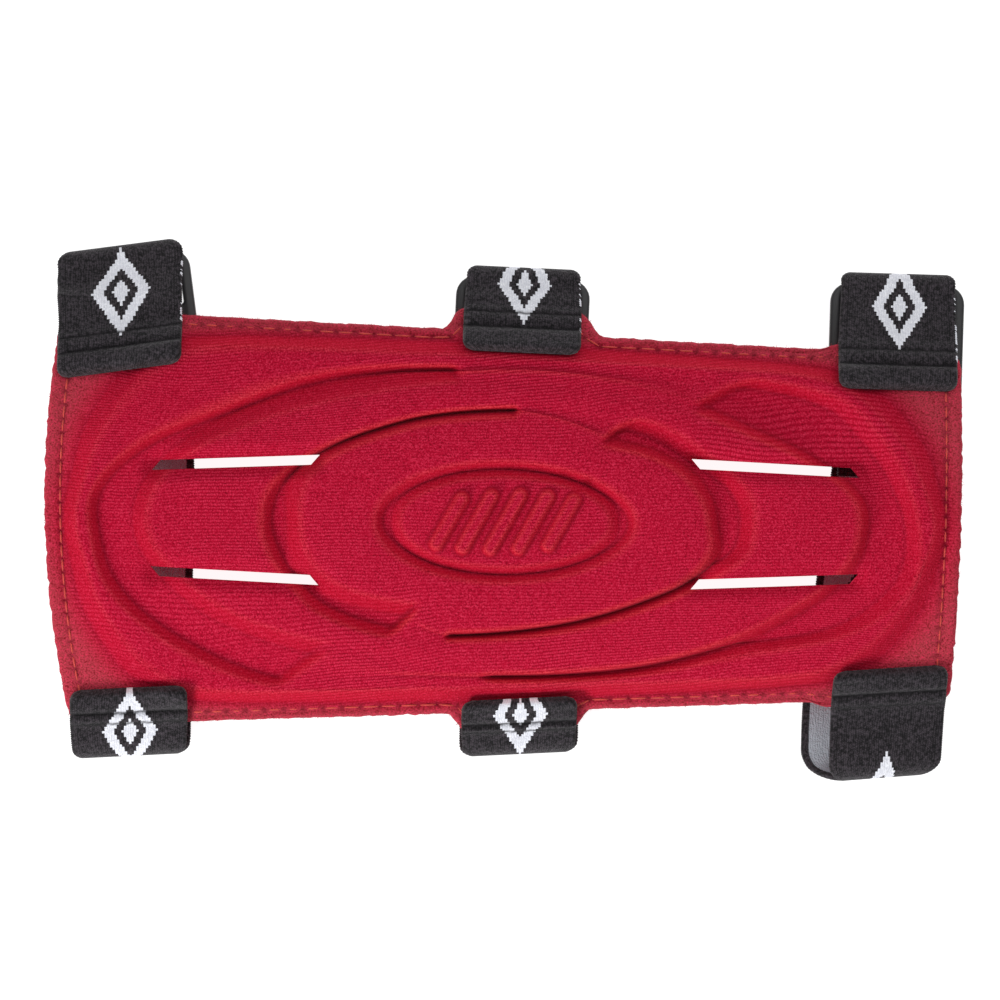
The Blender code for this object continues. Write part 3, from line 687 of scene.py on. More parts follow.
@dataclass
class PanelShape:
    """The panel's sizes, with its outline and its relief worked out from them."""

    length: float = 0.188
    wide_end: float = 0.087
    narrow_end: float = 0.071
    end_curves: tuple = (EndCurve(0.016, 0.048, 0.016), EndCurve(0.007, 0.011, 0.010))
    corner_radius: float = 0.004
    ear_reach: float = 0.0046
    ear_flank: float = 0.0042
    arch_rise: float = 0.008
    edge_height: float = 0.0085
    end_border: float = 0.0063
    side_border: float = 0.0052
    field_wall: float = 0.0030
    oval_length: float = 0.0540
    oval_width: float = 0.0252
    oval_ring: float = 0.0054
    oval_ring_side: float = 0.0034
    oval_wall: float = 0.0017
    badge_wall: float = 0.0021
    steep_wall: float = 0.0020
    gentle_wall: float = 0.0031
    gentle_towards: float = 165.0
    gentle_blend: float = 1.6
    gentle_spread: float = 0.0006
    gentle_spread_share: float = 0.05
    steep_spread_share: float = 0.2
    steep_share: float = 0.30
    gentle_share: float = 0.68
    border_thickness: float = 0.0024
    rim_thickness: float = 0.0050
    band_thickness: float = 0.0056
    eye_thickness: float = 0.0060
    oval_thickness: float = 0.0058
    oval_depth: float = 0.0017
    channel_depth: float = 0.0023
    groove_depth: float = 0.0028
    slot_width: float = 0.0021
    slot_slant: float = 0.0018
    slot_ends: tuple = ((0.450, 0.364), (0.827, 0.321))
    tape_width: float = 0.025
    angle_step: float = 0.25
    table: tuple[np.ndarray, np.ndarray] = field(init=False)

    def __post_init__(self) -> None:
        """Works out the relief once for every angle step."""
        self.half_length = self.length / 2
        self.field_x = self.length / 2 - self.end_border
        self.field_y = (self.wide_end + self.narrow_end) / 4 - self.side_border
        angles = np.arange(0.0, 360.0, self.angle_step)
        rows = [self.rings(float(a)) for a in angles]
        self.table = (
            np.array([[share for share, _ in row] for row in rows]),
            np.array([[height for _, height in row] for row in rows]),
        )

    def half_width(self, x: float | np.ndarray) -> float | np.ndarray:
        """Half of the panel's width at x, without its ears."""
        return between(self.wide_end, self.narrow_end, x / self.length + 0.5) / 2

    def taper(self, x: float | np.ndarray) -> float | np.ndarray:
        """Width at x as a share of the width in the middle."""
        return self.half_width(x) / self.half_width(0.0)

    def edge(self, x: float, side: Side) -> float:
        """Y of a long edge at x, with the ears that carry the tapes."""
        reach = 0.0
        for s in STATIONS:
            if s.side is side:
                inside = self.tape_width / 2 - self.ear_flank * s.tuck
                beyond = abs(x - s.x * self.half_length) - inside
                t = min(1.0, max(0.0, 1.0 - beyond / self.ear_flank))
                reach = max(reach, self.ear_reach * s.ear * t * t * (3 - 2 * t))
        return side.value * (self.half_width(x) + reach)

    def end_x(self, sign: int, y: float) -> float:
        """X of the panel's end on one side of the middle, at y."""
        width = 2 * self.half_width(sign * self.half_length)
        curve = self.end_curves[(sign + 1) // 2]
        share = 2 * y / width
        out = curve.crown - curve.drop * share**2 + curve.lean * share
        return sign * (self.half_length + width * out)

    def corner_middle(self, sign: int, side: Side) -> tuple[float, float]:
        """Middle of the arc that rounds a corner of the panel."""
        inwards = side.value * self.corner_radius
        y = self.edge(sign * self.half_length, side) - inwards
        x = self.end_x(sign, y) - sign * self.corner_radius
        return x, self.edge(x, side) - inwards

    def share_of(self, distance: float, angle: float) -> float:
        """A distance across the rings at an angle, as a share of the field's half sizes."""
        s, c = math.sin(math.radians(angle)), math.cos(math.radians(angle))
        size = self.field_x * self.field_y
        return distance * math.hypot(self.field_x * s, self.field_y * c) / size

    def oval(self, length: float, width: float, angle: float) -> float:
        """Share of an oval of that length and width at an angle."""
        s, c = math.sin(math.radians(angle)), math.cos(math.radians(angle))
        return 1 / math.hypot(c * 2 * self.field_x / length, s * 2 * self.field_y / width)

    def field_rim(self, angle: float) -> float:
        """Share of the moulded field's edge, the same in all four quarters."""
        folded = abs((angle + 90.0) % 180.0 - 90.0)
        quarter = [Rim(-row.angle, row.share) for row in reversed(FIELD_EDGE[1:-1])]
        return closed_curve(quarter + list(FIELD_EDGE), folded, "share", period=180.0)

    def channel_share(self, rows: Sequence[Channel], angle: float) -> float:
        """Share of its full depth that a channel has at an angle, level at either end of a row."""
        place = (angle - rows[0].angle) % 360.0 + rows[0].angle
        i = max(k for k in range(len(rows)) if rows[k].angle <= place)
        here, after = rows[i], rows[(i + 1) % len(rows)]
        span = (after.angle - here.angle) % 360.0
        share = here.depth + (after.depth - here.depth) * (place - here.angle) / span
        return float(smooth_step(1.6 * share - 0.3))

    def trough(
        self, rows: Sequence[Channel], angle: float, levels: tuple[float, float, float]
    ) -> list[tuple[float, float]]:
        """Four rings of a channel, which has one steep wall and one gentle one.

        Args:
            rows: the channel's table.
            angle: where it is cut, in degrees.
            levels: thickness inside it, thickness outside it, and its full depth.

        Returns:
            (share, thickness) of the rings, from the inside outwards.
        """
        high, low, depth = levels
        inner = closed_curve(rows, angle, "inner")
        outer = closed_curve(rows, angle, "outer")
        cut = depth * self.channel_share(rows, angle)
        facing = math.cos(math.radians(angle - self.gentle_towards))
        inwards = float(smooth_step(0.5 + self.gentle_blend * facing))
        width = outer - inner
        steep = self.steep_spread_share * width
        gentle = self.share_of(self.gentle_spread, angle) + self.gentle_spread_share * width
        inner -= between(steep, gentle, inwards)
        outer += between(gentle, steep, inwards)
        width = outer - inner
        slopes = []
        for share in (inwards, 1.0 - inwards):
            wall = self.share_of(between(self.steep_wall, self.gentle_wall, share), angle)
            most = between(self.steep_share, self.gentle_share, share) * width
            slopes.append(min(wall, most))
        return [
            (inner, high),
            (inner + slopes[0], high - cut),
            (outer - slopes[1], low - cut),
            (outer, low),
        ]

    def rings(self, angle: float) -> list[tuple[float, float]]:
        """(share, thickness) of each ring of the moulded face, from the middle outwards."""
        badge = self.oval(
            self.oval_length - 2 * self.oval_ring, self.oval_width - 2 * self.oval_ring_side, angle
        )
        recess = self.oval(self.oval_length, self.oval_width, angle)
        walls = [
            min(self.share_of(wall, angle), 0.48 * (recess - badge))
            for wall in (self.badge_wall, self.oval_wall)
        ]
        crest = self.field_rim(angle)
        eye, band, rim = self.eye_thickness, self.band_thickness, self.rim_thickness
        floor = self.oval_thickness - self.oval_depth
        return [
            (0.0, self.oval_thickness),
            (badge, self.oval_thickness),
            (badge + walls[0], floor),
            (recess - walls[1], floor),
            (recess, eye),
            *self.trough(GROOVE, angle, (eye, band, self.groove_depth)),
            *self.trough(CHANNEL, angle, (band, rim, self.channel_depth)),
            (crest, rim),
            (crest + self.share_of(self.field_wall, angle), self.border_thickness),
        ]

    def table_at(self, angles: np.ndarray) -> tuple[np.ndarray, np.ndarray]:
        """Ring shares and thicknesses at many angles, straight between the angle steps."""
        place = (angles % 360.0) / self.angle_step
        low = np.floor(place).astype(int)
        t = (place - low)[:, None]
        count = len(self.table[0])
        low, high = low % count, (low + 1) % count
        return tuple(part[low] * (1 - t) + part[high] * t for part in self.table)

    def to_shares(self, x: np.ndarray, y: np.ndarray) -> tuple[np.ndarray, np.ndarray]:
        """Angles in degrees and shares of the field's half sizes at points of the panel."""
        u = x / self.field_x
        v = y / (self.field_y * self.taper(x))
        return np.degrees(np.arctan2(v, u)) % 360.0, np.hypot(u, v)

    def underside(self, x: np.ndarray, y: np.ndarray) -> np.ndarray:
        """Heights of the panel's underside above the table."""
        return self.edge_height + self.arch_rise * (1 - (y / self.half_width(x)) ** 2)

    def thickness(self, x: np.ndarray, y: np.ndarray) -> np.ndarray:
        """Thicknesses of the moulded panel at points, straight between its rings."""
        angles, shares = self.to_shares(x, y)
        knots, heights = self.table_at(angles)
        found = np.full(len(shares), self.border_thickness)
        for k in range(knots.shape[1] - 2, -1, -1):
            a, b = knots[:, k], knots[:, k + 1]
            t = np.clip((shares - a) / np.maximum(b - a, 1e-9), 0.0, 1.0)
            inside = shares <= b
            found = np.where(inside, between(heights[:, k], heights[:, k + 1], t), found)
        return found

    def slot_middle(self) -> tuple[np.ndarray, np.ndarray]:
        """The two ends of the middle line of the slot where x and y are positive."""
        first, last = (np.array([self.field_x * a, self.field_y * b]) for a, b in self.slot_ends)
        return first, last

    def from_slot(self, x: np.ndarray, y: np.ndarray) -> np.ndarray:
        """Distances of points from the edge of the nearest slot."""
        first, last = self.slot_middle()
        spot = np.stack([np.abs(x), np.abs(y)], axis=1)
        way = last - first
        t = np.clip((spot - first) @ way / (way @ way), 0.0, 1.0)
        apart = np.linalg.norm(spot - first - t[:, None] * way, axis=1)
        return apart - self.slot_width / 2

    def stiff_top(self, x: np.ndarray, y: np.ndarray, reach: float) -> np.ndarray:
        """Heights of the face as a stiff tape feels them, lifted over steps within its reach."""
        around = [(i * reach, j * reach) for i in (-1, 0, 1) for j in (-1, 0, 1)]
        thick = np.max([self.thickness(x + i, y + j) for i, j in around], axis=0)
        return self.underside(x, y) + thick

    def outline(self, step: float) -> np.ndarray:
        """The panel's outline seen from above, anticlockwise from the narrow end.

        Args:
            step: rough distance between its points.

        Returns:
            One row of x and y for each point.
        """
        points: list[tuple[float, float]] = []
        radius = self.corner_radius
        turns = max(3, round(radius * math.pi / 2 / step))
        for sign, first, last in ((1, Side.FOLDS, Side.SLIDERS), (-1, Side.SLIDERS, Side.FOLDS)):
            start, stop = self.corner_middle(sign, first), self.corner_middle(sign, last)
            beyond = self.corner_middle(-sign, last)
            count = round(abs(stop[1] - start[1]) / step)
            for i in range(count + 1):
                y = start[1] + (stop[1] - start[1]) * i / count
                points.append((self.end_x(sign, y), y))
            turned = 0 if sign > 0 else 180
            points += arc(stop, radius, turned, turned + 90, turns)[1:-1]
            count = round(abs(beyond[0] - stop[0]) / step)
            for i in range(count + 1):
                x = stop[0] + (beyond[0] - stop[0]) * i / count
                points.append((x, self.edge(x, last)))
            points += arc(beyond, radius, turned + 90, turned + 180, turns)[1:-1]
        return np.array(points)


class Placement:
    """Where the panel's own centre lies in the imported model's frame."""

    def __init__(self, shape: PanelShape) -> None:
        """Reads it from the panel's node."""
        low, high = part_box("moulded_panel")
        line = shape.outline(0.0005)
        self.x = low[0] - float(line[:, 0].min())
        self.y = high[1] - float(line[:, 1].max())

    def shift(self, points: np.ndarray) -> np.ndarray:
        """Points of the panel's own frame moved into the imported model's."""
        return points + np.array([self.x, self.y, 0.0])


def finish_piece(piece: bpy.types.Object, material: bpy.types.Material) -> None:
    """Gives a piece its material and its body, and reports it."""
    piece.data.materials.clear()
    piece.data.materials.append(material)
    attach(piece, BODY)
    LOG.info("%s: %d faces", piece.name, len(piece.data.polygons))


@dataclass
class Panel:
    """The moulded panel: a padded piece with relief, slots, a pressed seam line and a cut edge."""

    shape: PanelShape
    placement: Placement
    outline_step: float = 0.00088
    edge_roughness: float = 0.00013
    seam_inset: float = 0.0019
    end_seam_inset: float = 0.0032
    seam_dent: float = 0.00040
    side_stitch: float = 0.0040
    end_stitch: float = 0.0029
    pinhole_radius: float = 0.0009
    badge_ribs: int = 5
    badge_rib_pitch: float = 0.0058
    badge_rib_width: float = 0.0028
    badge_rib_height: float = 0.0014
    badge_rib_lean: float = 0.55
    badge_rib_edge: float = 0.0012
    slot_roll: float = 0.0019
    slot_roll_width: float = 0.0032
    wide_lump: float = 0.00009
    small_lump: float = 0.00004
    pinhole_dent: float = 0.00028
    seam_dent_width: float = 0.0006
    edge_wear: float = 0.0006
    edge_wear_width: float = 0.0007
    border_shares: tuple[float, ...] = (
        0.1, 0.2, 0.3, 0.4, 0.5, 0.6, 0.7, 0.78, 0.86, 0.93, 0.975, 1.0,
    )  # fmt: skip
    flank_rings: tuple = ((0.62, 0.00012), (0.30, 0.00010), (0.0, -0.00020))
    underside_rings: int = 10
    segments: tuple[int, ...] = (40, 4, 4, 4, 11, 4, 4, 4, 14, 5, 8, 5, 5, 6)
    walls: tuple[int, ...] = (1, 3, 5, 7, 9, 11, 13)
    crowns: tuple[float, ...] = (
        0.00030, 0, 0, 0, 0.00025, 0, -0.00010, 0, 0.00035, 0, -0.00020, 0, 0.00020, 0,
    )  # fmt: skip

    def inset(self, lengthwise: np.ndarray) -> np.ndarray:
        """Distance of the seam from the edge, by how much the edge there faces along X."""
        return between(self.seam_inset, self.end_seam_inset, lengthwise**2)

    def seam_path(self) -> np.ndarray:
        """The perimeter seam's line, one row of x and y every half millimetre or so."""
        line = self.shape.outline(0.0005)
        ahead = np.roll(line, -3, axis=0) - np.roll(line, 3, axis=0)
        normal = np.stack([-ahead[:, 1], ahead[:, 0]], axis=1)
        normal /= np.linalg.norm(normal, axis=1)[:, None]
        return line + normal * self.inset(normal[:, 0])[:, None]

    def stitches(self) -> np.ndarray:
        """Start and end of every stitch of the perimeter seam, as rows of x, y, x, y."""
        line = self.seam_path()
        steps = np.linalg.norm(np.roll(line, -1, axis=0) - line, axis=1)
        walked = np.concatenate([[0.0], np.cumsum(steps)])
        closed = np.vstack([line, line[:1]])
        made = []
        at = 0.0
        while at < walked[-1] - self.end_stitch:
            x = np.interp(at, walked, closed[:, 0])
            on_side = abs(x) < self.shape.half_length - 2 * self.shape.corner_radius
            pitch = self.side_stitch if on_side else self.end_stitch
            ends = [np.interp(d, walked, closed[:, k]) for d in (at, at + pitch) for k in (0, 1)]
            made.append(ends)
            at += pitch
        return np.array(made)

    def pinholes(self, x: np.ndarray, y: np.ndarray) -> np.ndarray:
        """How near each point is to a needle hole of the seam, from 0 to 1."""
        holes = self.stitches()[:, :2]
        nearest = np.full(len(x), 1.0)
        for hx, hy in holes:
            nearest = np.minimum(nearest, np.hypot(x - hx, y - hy) / self.pinhole_radius)
        return np.clip(1.0 - nearest, 0.0, 1.0)

    def badge(self, x: np.ndarray, y: np.ndarray) -> np.ndarray:
        """Height that the slanted, round-ended ribs add on the central oval."""
        added = np.zeros_like(x)
        lean, edge = self.badge_rib_lean, self.badge_rib_edge
        room = self.shape.oval_length / 2 - self.shape.oval_ring
        tallest = (self.shape.oval_width / 2 - self.shape.oval_ring_side) * 0.60
        for i in range(self.badge_ribs):
            middle = (i - (self.badge_ribs - 1) / 2) * self.badge_rib_pitch
            reach = tallest * math.sqrt(1 - (middle / room) ** 2)
            t = np.clip((lean * (x - middle) + y) / (1 + lean**2), -reach, reach)
            off = np.hypot(x - middle - lean * t, y - t)
            added = np.maximum(added, smooth_step(((self.badge_rib_width + edge) / 2 - off) / edge))
        return self.badge_rib_height * added

    def moulding(self, x: np.ndarray, y: np.ndarray) -> np.ndarray:
        """Thicknesses of the panel with the ribs of its central oval."""
        return self.shape.thickness(x, y) + self.badge(x, y)

    def around(self, x: np.ndarray, y: np.ndarray, reach: float) -> list[np.ndarray]:
        """Thicknesses at eight places around points."""
        turns = [i * math.pi / 4 for i in range(8)]
        return [self.moulding(x + math.cos(a) * reach, y + math.sin(a) * reach) for a in turns]

    def relief(self, x: np.ndarray, y: np.ndarray, reach: float) -> np.ndarray:
        """How far points stand above what lies around them, negative in creases, in metres."""
        return self.moulding(x, y) - np.mean(self.around(x, y, reach), axis=0)

    def steepness(self, x: np.ndarray, y: np.ndarray, reach: float) -> np.ndarray:
        """Slope of the moulded relief at points, without the arch."""
        ring = self.around(x, y, reach)
        return np.hypot(ring[0] - ring[4], ring[2] - ring[6]) / (2 * reach)

    def rolled(self, x: np.ndarray, y: np.ndarray) -> np.ndarray:
        """How far the face rolls down towards the slots."""
        near = np.clip(1.0 - self.shape.from_slot(x, y) / self.slot_roll_width, 0.0, 1.0)
        return self.slot_roll * near**2

    def face_rings(self, border: np.ndarray) -> tuple[list[np.ndarray], list[np.ndarray]]:
        """The face's rings of vertices.

        Args:
            border: the outline, one row of x and y for each spoke.

        Returns:
            Rows of x and y for each ring, and the thicknesses there, from the middle outwards.
        """
        shape = self.shape
        angles, _ = shape.to_shares(border[:, 0], border[:, 1])
        knots, heights = shape.table_at(angles)
        c, s = np.cos(np.radians(angles)), np.sin(np.radians(angles))
        plan, thick = [], []
        for k, count in enumerate(self.segments):
            for i in range(1, count + 1):
                t = i / count
                eased = smooth_step(t) if k in self.walls else t
                share = between(knots[:, k], knots[:, k + 1], t)
                x = shape.field_x * share * c
                y = shape.field_y * shape.taper(x) * share * s
                crown = self.crowns[k] * 4 * t * (1 - t)
                if k == 0:
                    crown = self.crowns[k] * (1 - t * t)
                plan.append(np.stack([x, y], axis=1))
                thick.append(between(heights[:, k], heights[:, k + 1], eased) + crown)
        foot = plan[-1]
        room = np.linalg.norm(border - foot, axis=1)
        ahead = np.roll(border, -3, axis=0) - np.roll(border, 3, axis=0)
        faces_end = ahead[:, 1] / np.linalg.norm(ahead, axis=1)
        seam_at = self.inset(faces_end)
        for t in self.border_shares:
            inset = room * (1 - t)
            seam = np.exp(-(((inset - seam_at) / self.seam_dent_width) ** 2))
            worn = np.clip(1 - inset / self.edge_wear_width, 0.0, 1.0) ** 2
            plan.append(between(foot, border, t))
            thick.append(shape.border_thickness - self.seam_dent * seam - self.edge_wear * worn)
        return plan, thick

    def soften(self, thick: np.ndarray, rounds: int = 5) -> np.ndarray:
        """Rounds the relief's edges as pressed foam does, leaving the border as it is."""
        last = sum(self.segments) - 2
        for _ in range(rounds):
            mean = (np.roll(thick, 1, axis=1) + np.roll(thick, -1, axis=1)) / 2
            radial = thick.copy()
            radial[1:last] = (thick[: last - 1] + thick[2 : last + 1]) / 2
            thick = thick.copy()
            thick[1:last] = 0.5 * thick[1:last] + 0.2 * mean[1:last] + 0.3 * radial[1:last]
        return thick

    def cut_edge(self) -> tuple[np.ndarray, np.ndarray]:
        """The outline with its small tufts, and the way outwards at each of its points."""
        border = self.shape.outline(self.outline_step)
        rng = np.random.default_rng(11)
        outwards = border / np.linalg.norm(border, axis=1)[:, None]
        tufts = soft_noise(border[:, 0], border[:, 1], 0.0024, 5) + rng.normal(0, 0.5, len(border))
        return border + outwards * (tufts * self.edge_roughness)[:, None], outwards

    def face(self, border: np.ndarray) -> list[np.ndarray]:
        """The face's rings in x, y and z, with ribs, lumps, needle holes and rolled slots."""
        plan, thick = self.face_rings(border)
        rings = []
        for spot, height in zip(plan, self.soften(np.array(thick))):
            x, y = spot[:, 0], spot[:, 1]
            lumps = self.wide_lump * soft_noise(x, y, 0.013, 3)
            lumps = lumps + self.small_lump * soft_noise(x, y, 0.004, 8)
            dents = self.pinhole_dent * self.pinholes(x, y) + self.rolled(x, y)
            height = height + lumps + self.badge(x, y) - dents
            rings.append(np.stack([x, y, self.shape.underside(x, y) + height], axis=1))
        return rings

    def back(self, border: np.ndarray, outwards: np.ndarray, edge_top: np.ndarray) -> list[np.ndarray]:
        """The rings down the cut edge and inwards under the panel."""
        shape = self.shape
        base = shape.underside(border[:, 0], border[:, 1])
        rings = []
        for share, bulge in self.flank_rings:
            rings.append(np.column_stack([border + outwards * bulge, between(base, edge_top, share)]))
        for share in np.linspace(0.985, 0.06, self.underside_rings):
            spot = border * share
            rings.append(np.column_stack([spot, shape.underside(spot[:, 0], spot[:, 1])]))
        return rings

    def build(self) -> bpy.types.Object:
        """Makes the panel's mesh and cuts its slots."""
        border, outwards = self.cut_edge()
        rings = self.face(border)
        rings += self.back(border, outwards, rings[-1][:, 2])
        origin = np.zeros(1)
        low = self.shape.underside(origin, origin)[0]
        high = low + (self.shape.oval_thickness + self.crowns[0]) + self.badge(origin, origin)[0]
        points = np.vstack([*rings, [[0, 0, high], [0, 0, low]]])
        count = len(border)
        ring = np.arange(count)
        after = (ring + 1) % count
        faces = []
        for a in range(0, (len(rings) - 1) * count, count):
            b = a + count
            faces.append(np.stack([a + ring, b + ring, b + after, a + after], axis=1))
        middle = len(rings) * count
        last = middle - count
        fans = [(middle, int(i), int(j)) for i, j in zip(ring, after)]
        fans += [(middle + 1, int(last + j), int(last + i)) for i, j in zip(ring, after)]
        panel = new_mesh("panel", self.placement.shift(points), np.vstack(faces).tolist() + fans)
        self.cut_slots(panel)
        return panel

    def slot_cutter(self, end: int, side: int) -> bpy.types.Object:
        """A slanted cutter for one slot, from a cube that is stretched and leaned."""
        shape = self.shape
        (x0, y0), (x1, y1) = shape.slot_middle()
        deselect_all()
        bpy.ops.mesh.primitive_cube_add(size=1.0)
        cutter = bpy.context.object
        for v in cutter.data.vertices:
            far, high = v.co.x > 0, v.co.y > 0
            lean = shape.slot_slant / 2 * (-1 if high else 1)
            x = (x1 if far else x0) + lean
            y = (y1 if far else y0) + shape.slot_width / 2 * (1 if high else -1)
            v.co = (
                self.placement.x + end * x,
                self.placement.y + side * y,
                0.002 if v.co.z < 0 else 0.035,
            )
        bpy.ops.object.mode_set(mode="EDIT")
        bpy.ops.mesh.select_all(action="SELECT")
        bpy.ops.mesh.normals_make_consistent(inside=False)
        bpy.ops.object.mode_set(mode="OBJECT")
        return cutter

    def cut_slots(self, panel: bpy.types.Object) -> None:
        """Cuts the four slots through the panel."""
        cutters = [self.slot_cutter(end, side) for end in (-1, 1) for side in (-1, 1)]
        deselect_all()
        for cutter in cutters:
            cutter.select_set(True)
        bpy.context.view_layer.objects.active = cutters[0]
        bpy.ops.object.join()
        cut_away(panel, cutters[0])

    def pull(self, x: np.ndarray, y: np.ndarray) -> np.ndarray:
        """How far the moulding drags the knit's courses across the panel, by place."""
        outside = smooth_step((np.abs(y) - 0.010) / 0.020)
        ends = smooth_step((np.abs(x) - 0.060) / 0.030)
        return -0.11 * x * outside * (1 - 0.5 * ends) - 0.018 * x * (1 - outside)

    def dress(self, panel: bpy.types.Object, material: bpy.types.Material) -> None:
        points = vertices_of(panel)
        x, y = points[:, 0] - self.placement.x, points[:, 1] - self.placement.y
        angles, shares = self.shape.to_shares(x, y)
        knots, _ = self.shape.table_at(angles)
        above = points[:, 2] > self.shape.underside(x, y) + 0.001
        # relief drives the knit's painted highlight on crests and painted shade in creases
        relief = self.relief(x, y, 0.0009) / 0.00044
        wall = smooth_step((self.steepness(x, y, 0.0006) - 0.25) / 0.8)
        set_attribute(panel, "moulded", smooth_step((knots[:, -1] - shares) / 0.10 + 0.8))
        set_attribute(panel, "pull", self.pull(x, y))
        # mask for the painted shade in the needle holes
        set_attribute(panel, "pinhole_shade", 0.85 * self.pinholes(x, y) * above)
        set_attribute(panel, "relief", np.clip(relief, -1.0, 1.0) * above)
        set_attribute(panel, "wall", wall * above)
        make_active(panel)
        bpy.ops.object.shade_smooth_by_angle(angle=math.radians(55))
        finish_piece(panel, material)
        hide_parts("moulded_panel")


@dataclass
class PerimeterSeam:
    """The seam round the panel's border: single stitches that dip into needle holes."""

    panel: Panel
    radius: float = 0.00019
    stand: float = 0.00034
    gap_share: float = 0.16
    sides: int = 6
    steps: int = 8

    def stitch(self, start: np.ndarray, stop: np.ndarray) -> np.ndarray:
        """Vertices of one stitch, ring by ring, from its two ends seen from above."""
        shape = self.panel.shape
        t = np.linspace(self.gap_share / 2, 1 - self.gap_share / 2, self.steps)
        plan = start + (stop - start) * t[:, None]
        x, y = plan[:, 0], plan[:, 1]
        arch = np.sin(np.linspace(0, math.pi, self.steps))
        floor = shape.underside(x, y) + shape.thickness(x, y) - self.panel.seam_dent
        z = floor + self.stand * arch - self.radius * 0.6 * (1 - arch)
        ahead = (stop - start) / np.linalg.norm(stop - start)
        swell = self.radius * (0.45 + 0.55 * np.sqrt(arch))
        corners_round = []
        for k in range(self.sides):
            a = 2 * math.pi * k / self.sides
            px = x - ahead[1] * np.cos(a) * swell
            py = y + ahead[0] * np.cos(a) * swell
            corners_round.append(np.stack([px, py, z + np.sin(a) * swell], axis=1))
        return np.stack(corners_round, axis=1).reshape(-1, 3)

    def build(self) -> bpy.types.Object:
        """Makes all the stitches as one piece."""
        points, faces = [], []
        for ax, ay, bx, by in self.panel.stitches():
            faces += tube_faces(len(points) * self.steps * self.sides, self.steps, self.sides)
            points.append(self.stitch(np.array([ax, ay]), np.array([bx, by])))
        placed = self.panel.placement.shift(np.vstack(points))
        return new_mesh("perimeter_seam", placed, faces)


@dataclass
class EdgeFibres:
    """Short loose fibres along the panel's cut edge."""

    panel: Panel
    per_metre: float = 5200.0
    shortest: float = 0.00025
    longest: float = 0.00095
    radius: float = 0.000045
    rooted: tuple[float, float] = (0.0003, 0.0021)
    root_depth: float = 0.0002
    seed: int = 29

    def fibre(self, spot: np.ndarray, ahead: np.ndarray, rng: np.random.Generator) -> np.ndarray:
        """Vertices of one fibre: two rings of three and its tip.

        Args:
            spot: x and y where it leaves the edge.
            ahead: the way along the edge there, of length 1.
            rng: draws its height, length and curl.

        Returns:
            One row of x, y and z for each vertex.
        """
        x, y = spot
        out = np.array([ahead[1], -ahead[0]])
        under = self.panel.shape.underside(np.array([x]), np.array([y]))[0]
        height = under + rng.uniform(*self.rooted)
        root = np.array([x, y, height]) - self.root_depth * np.array([*out, 0])
        length = rng.uniform(self.shortest, self.longest) * rng.uniform(0.4, 1.0)
        lean = rng.normal(0, 0.7)
        rise = rng.normal(0.1, 0.5)
        heading = np.array([*(out + ahead * lean), rise])
        heading /= np.linalg.norm(heading)
        curl = rng.normal(0, 0.45, 3)
        aside = np.cross(heading, [0.0, 0.0, 1.0])
        aside /= np.linalg.norm(aside) + 1e-9
        over = np.cross(aside, heading)
        ring = []
        for t, width in ((0.0, 1.0), (0.55, 0.8)):
            place = root + heading * length * t + curl * length * t * t
            for k in range(3):
                a = 2 * math.pi * k / 3
                ring.append(place + (aside * math.cos(a) + over * math.sin(a)) * self.radius * width)
        ring.append(root + heading * length + curl * length)
        return np.array(ring)

    def build(self) -> bpy.types.Object:
        """Makes all the fibres as one piece of thin, tapered, three-sided hairs."""
        rng = np.random.default_rng(self.seed)
        line = self.panel.shape.outline(0.0004)
        ahead = np.roll(line, -1, axis=0) - line
        steps = np.linalg.norm(ahead, axis=1)
        count = int(steps.sum() * self.per_metre)
        points, faces = [], []
        for i in rng.choice(len(line), size=count, p=steps / steps.sum()):
            spot = line[i] + ahead[i] * rng.uniform()
            first = len(points) * 7
            points.append(self.fibre(spot, ahead[i] / steps[i], rng))
            for k in range(3):
                j = (k + 1) % 3
                faces.append((first + k, first + j, first + 3 + j, first + 3 + k))
                faces.append((first + 3 + k, first + 3 + j, first + 6))
            faces.append((first + 2, first + 1, first))
        return new_mesh("edge_fibres", self.panel.placement.shift(np.vstack(points)), faces)


class Section(NamedTuple):
    """One section across a tape, in the panel's own frame."""

    x: float
    y: float
    across: float
    own_y: float
    z: float
    thickness: float
    width: float
    resting: Resting


@dataclass
class TapeSizes:
    """Sizes that the tapes and the sliders share."""

    width: float = 0.025
    thickness: float = 0.0013
    solid_thickness: float = 0.0015
    bar_pinch: float = 0.0020
    hem_thickness: float = 0.0027
    seam_dent: float = 0.0009
    longest_hem: float = 0.0125
    hem_end: float = 0.0045
    hem_margin: float = 0.0007
    stitch_pitch: float = 0.0031
    longest_reach: float = 0.0158
    slider_clearance: float = 0.0002
    slider_side: float = 0.0023
    slider_thickness: float = 0.0030
    slider_bar: float = 0.0026
    slider_slot: float = 0.0090
    slider_corner: float = 0.0040
    slider_edge: float = 0.0005
    tab_climb: float = 52.0
    gap: float = 0.00035
    hem_gap: float = 0.00030
    hem_bridge: float = 0.0016
    edge_margin: float = 0.0022
    turn_back: float = 0.016
    sweep_turn: float = -20.0

    @property
    def bar_width(self) -> float:
        """Width of a tape where it goes round a slider's bar."""
        return self.width - self.bar_pinch

    @property
    def wrap_radius(self) -> float:
        """Radius of the tape's inner face round a slider's bar."""
        half_bar = self.slider_bar / 2 - self.slider_edge
        half_thick = self.slider_thickness / 2 - self.slider_edge
        return math.hypot(half_bar, half_thick) + self.slider_edge + self.gap

    @property
    def bar_height(self) -> float:
        """Height of a slider's middle above the table."""
        return self.wrap_radius + self.solid_thickness


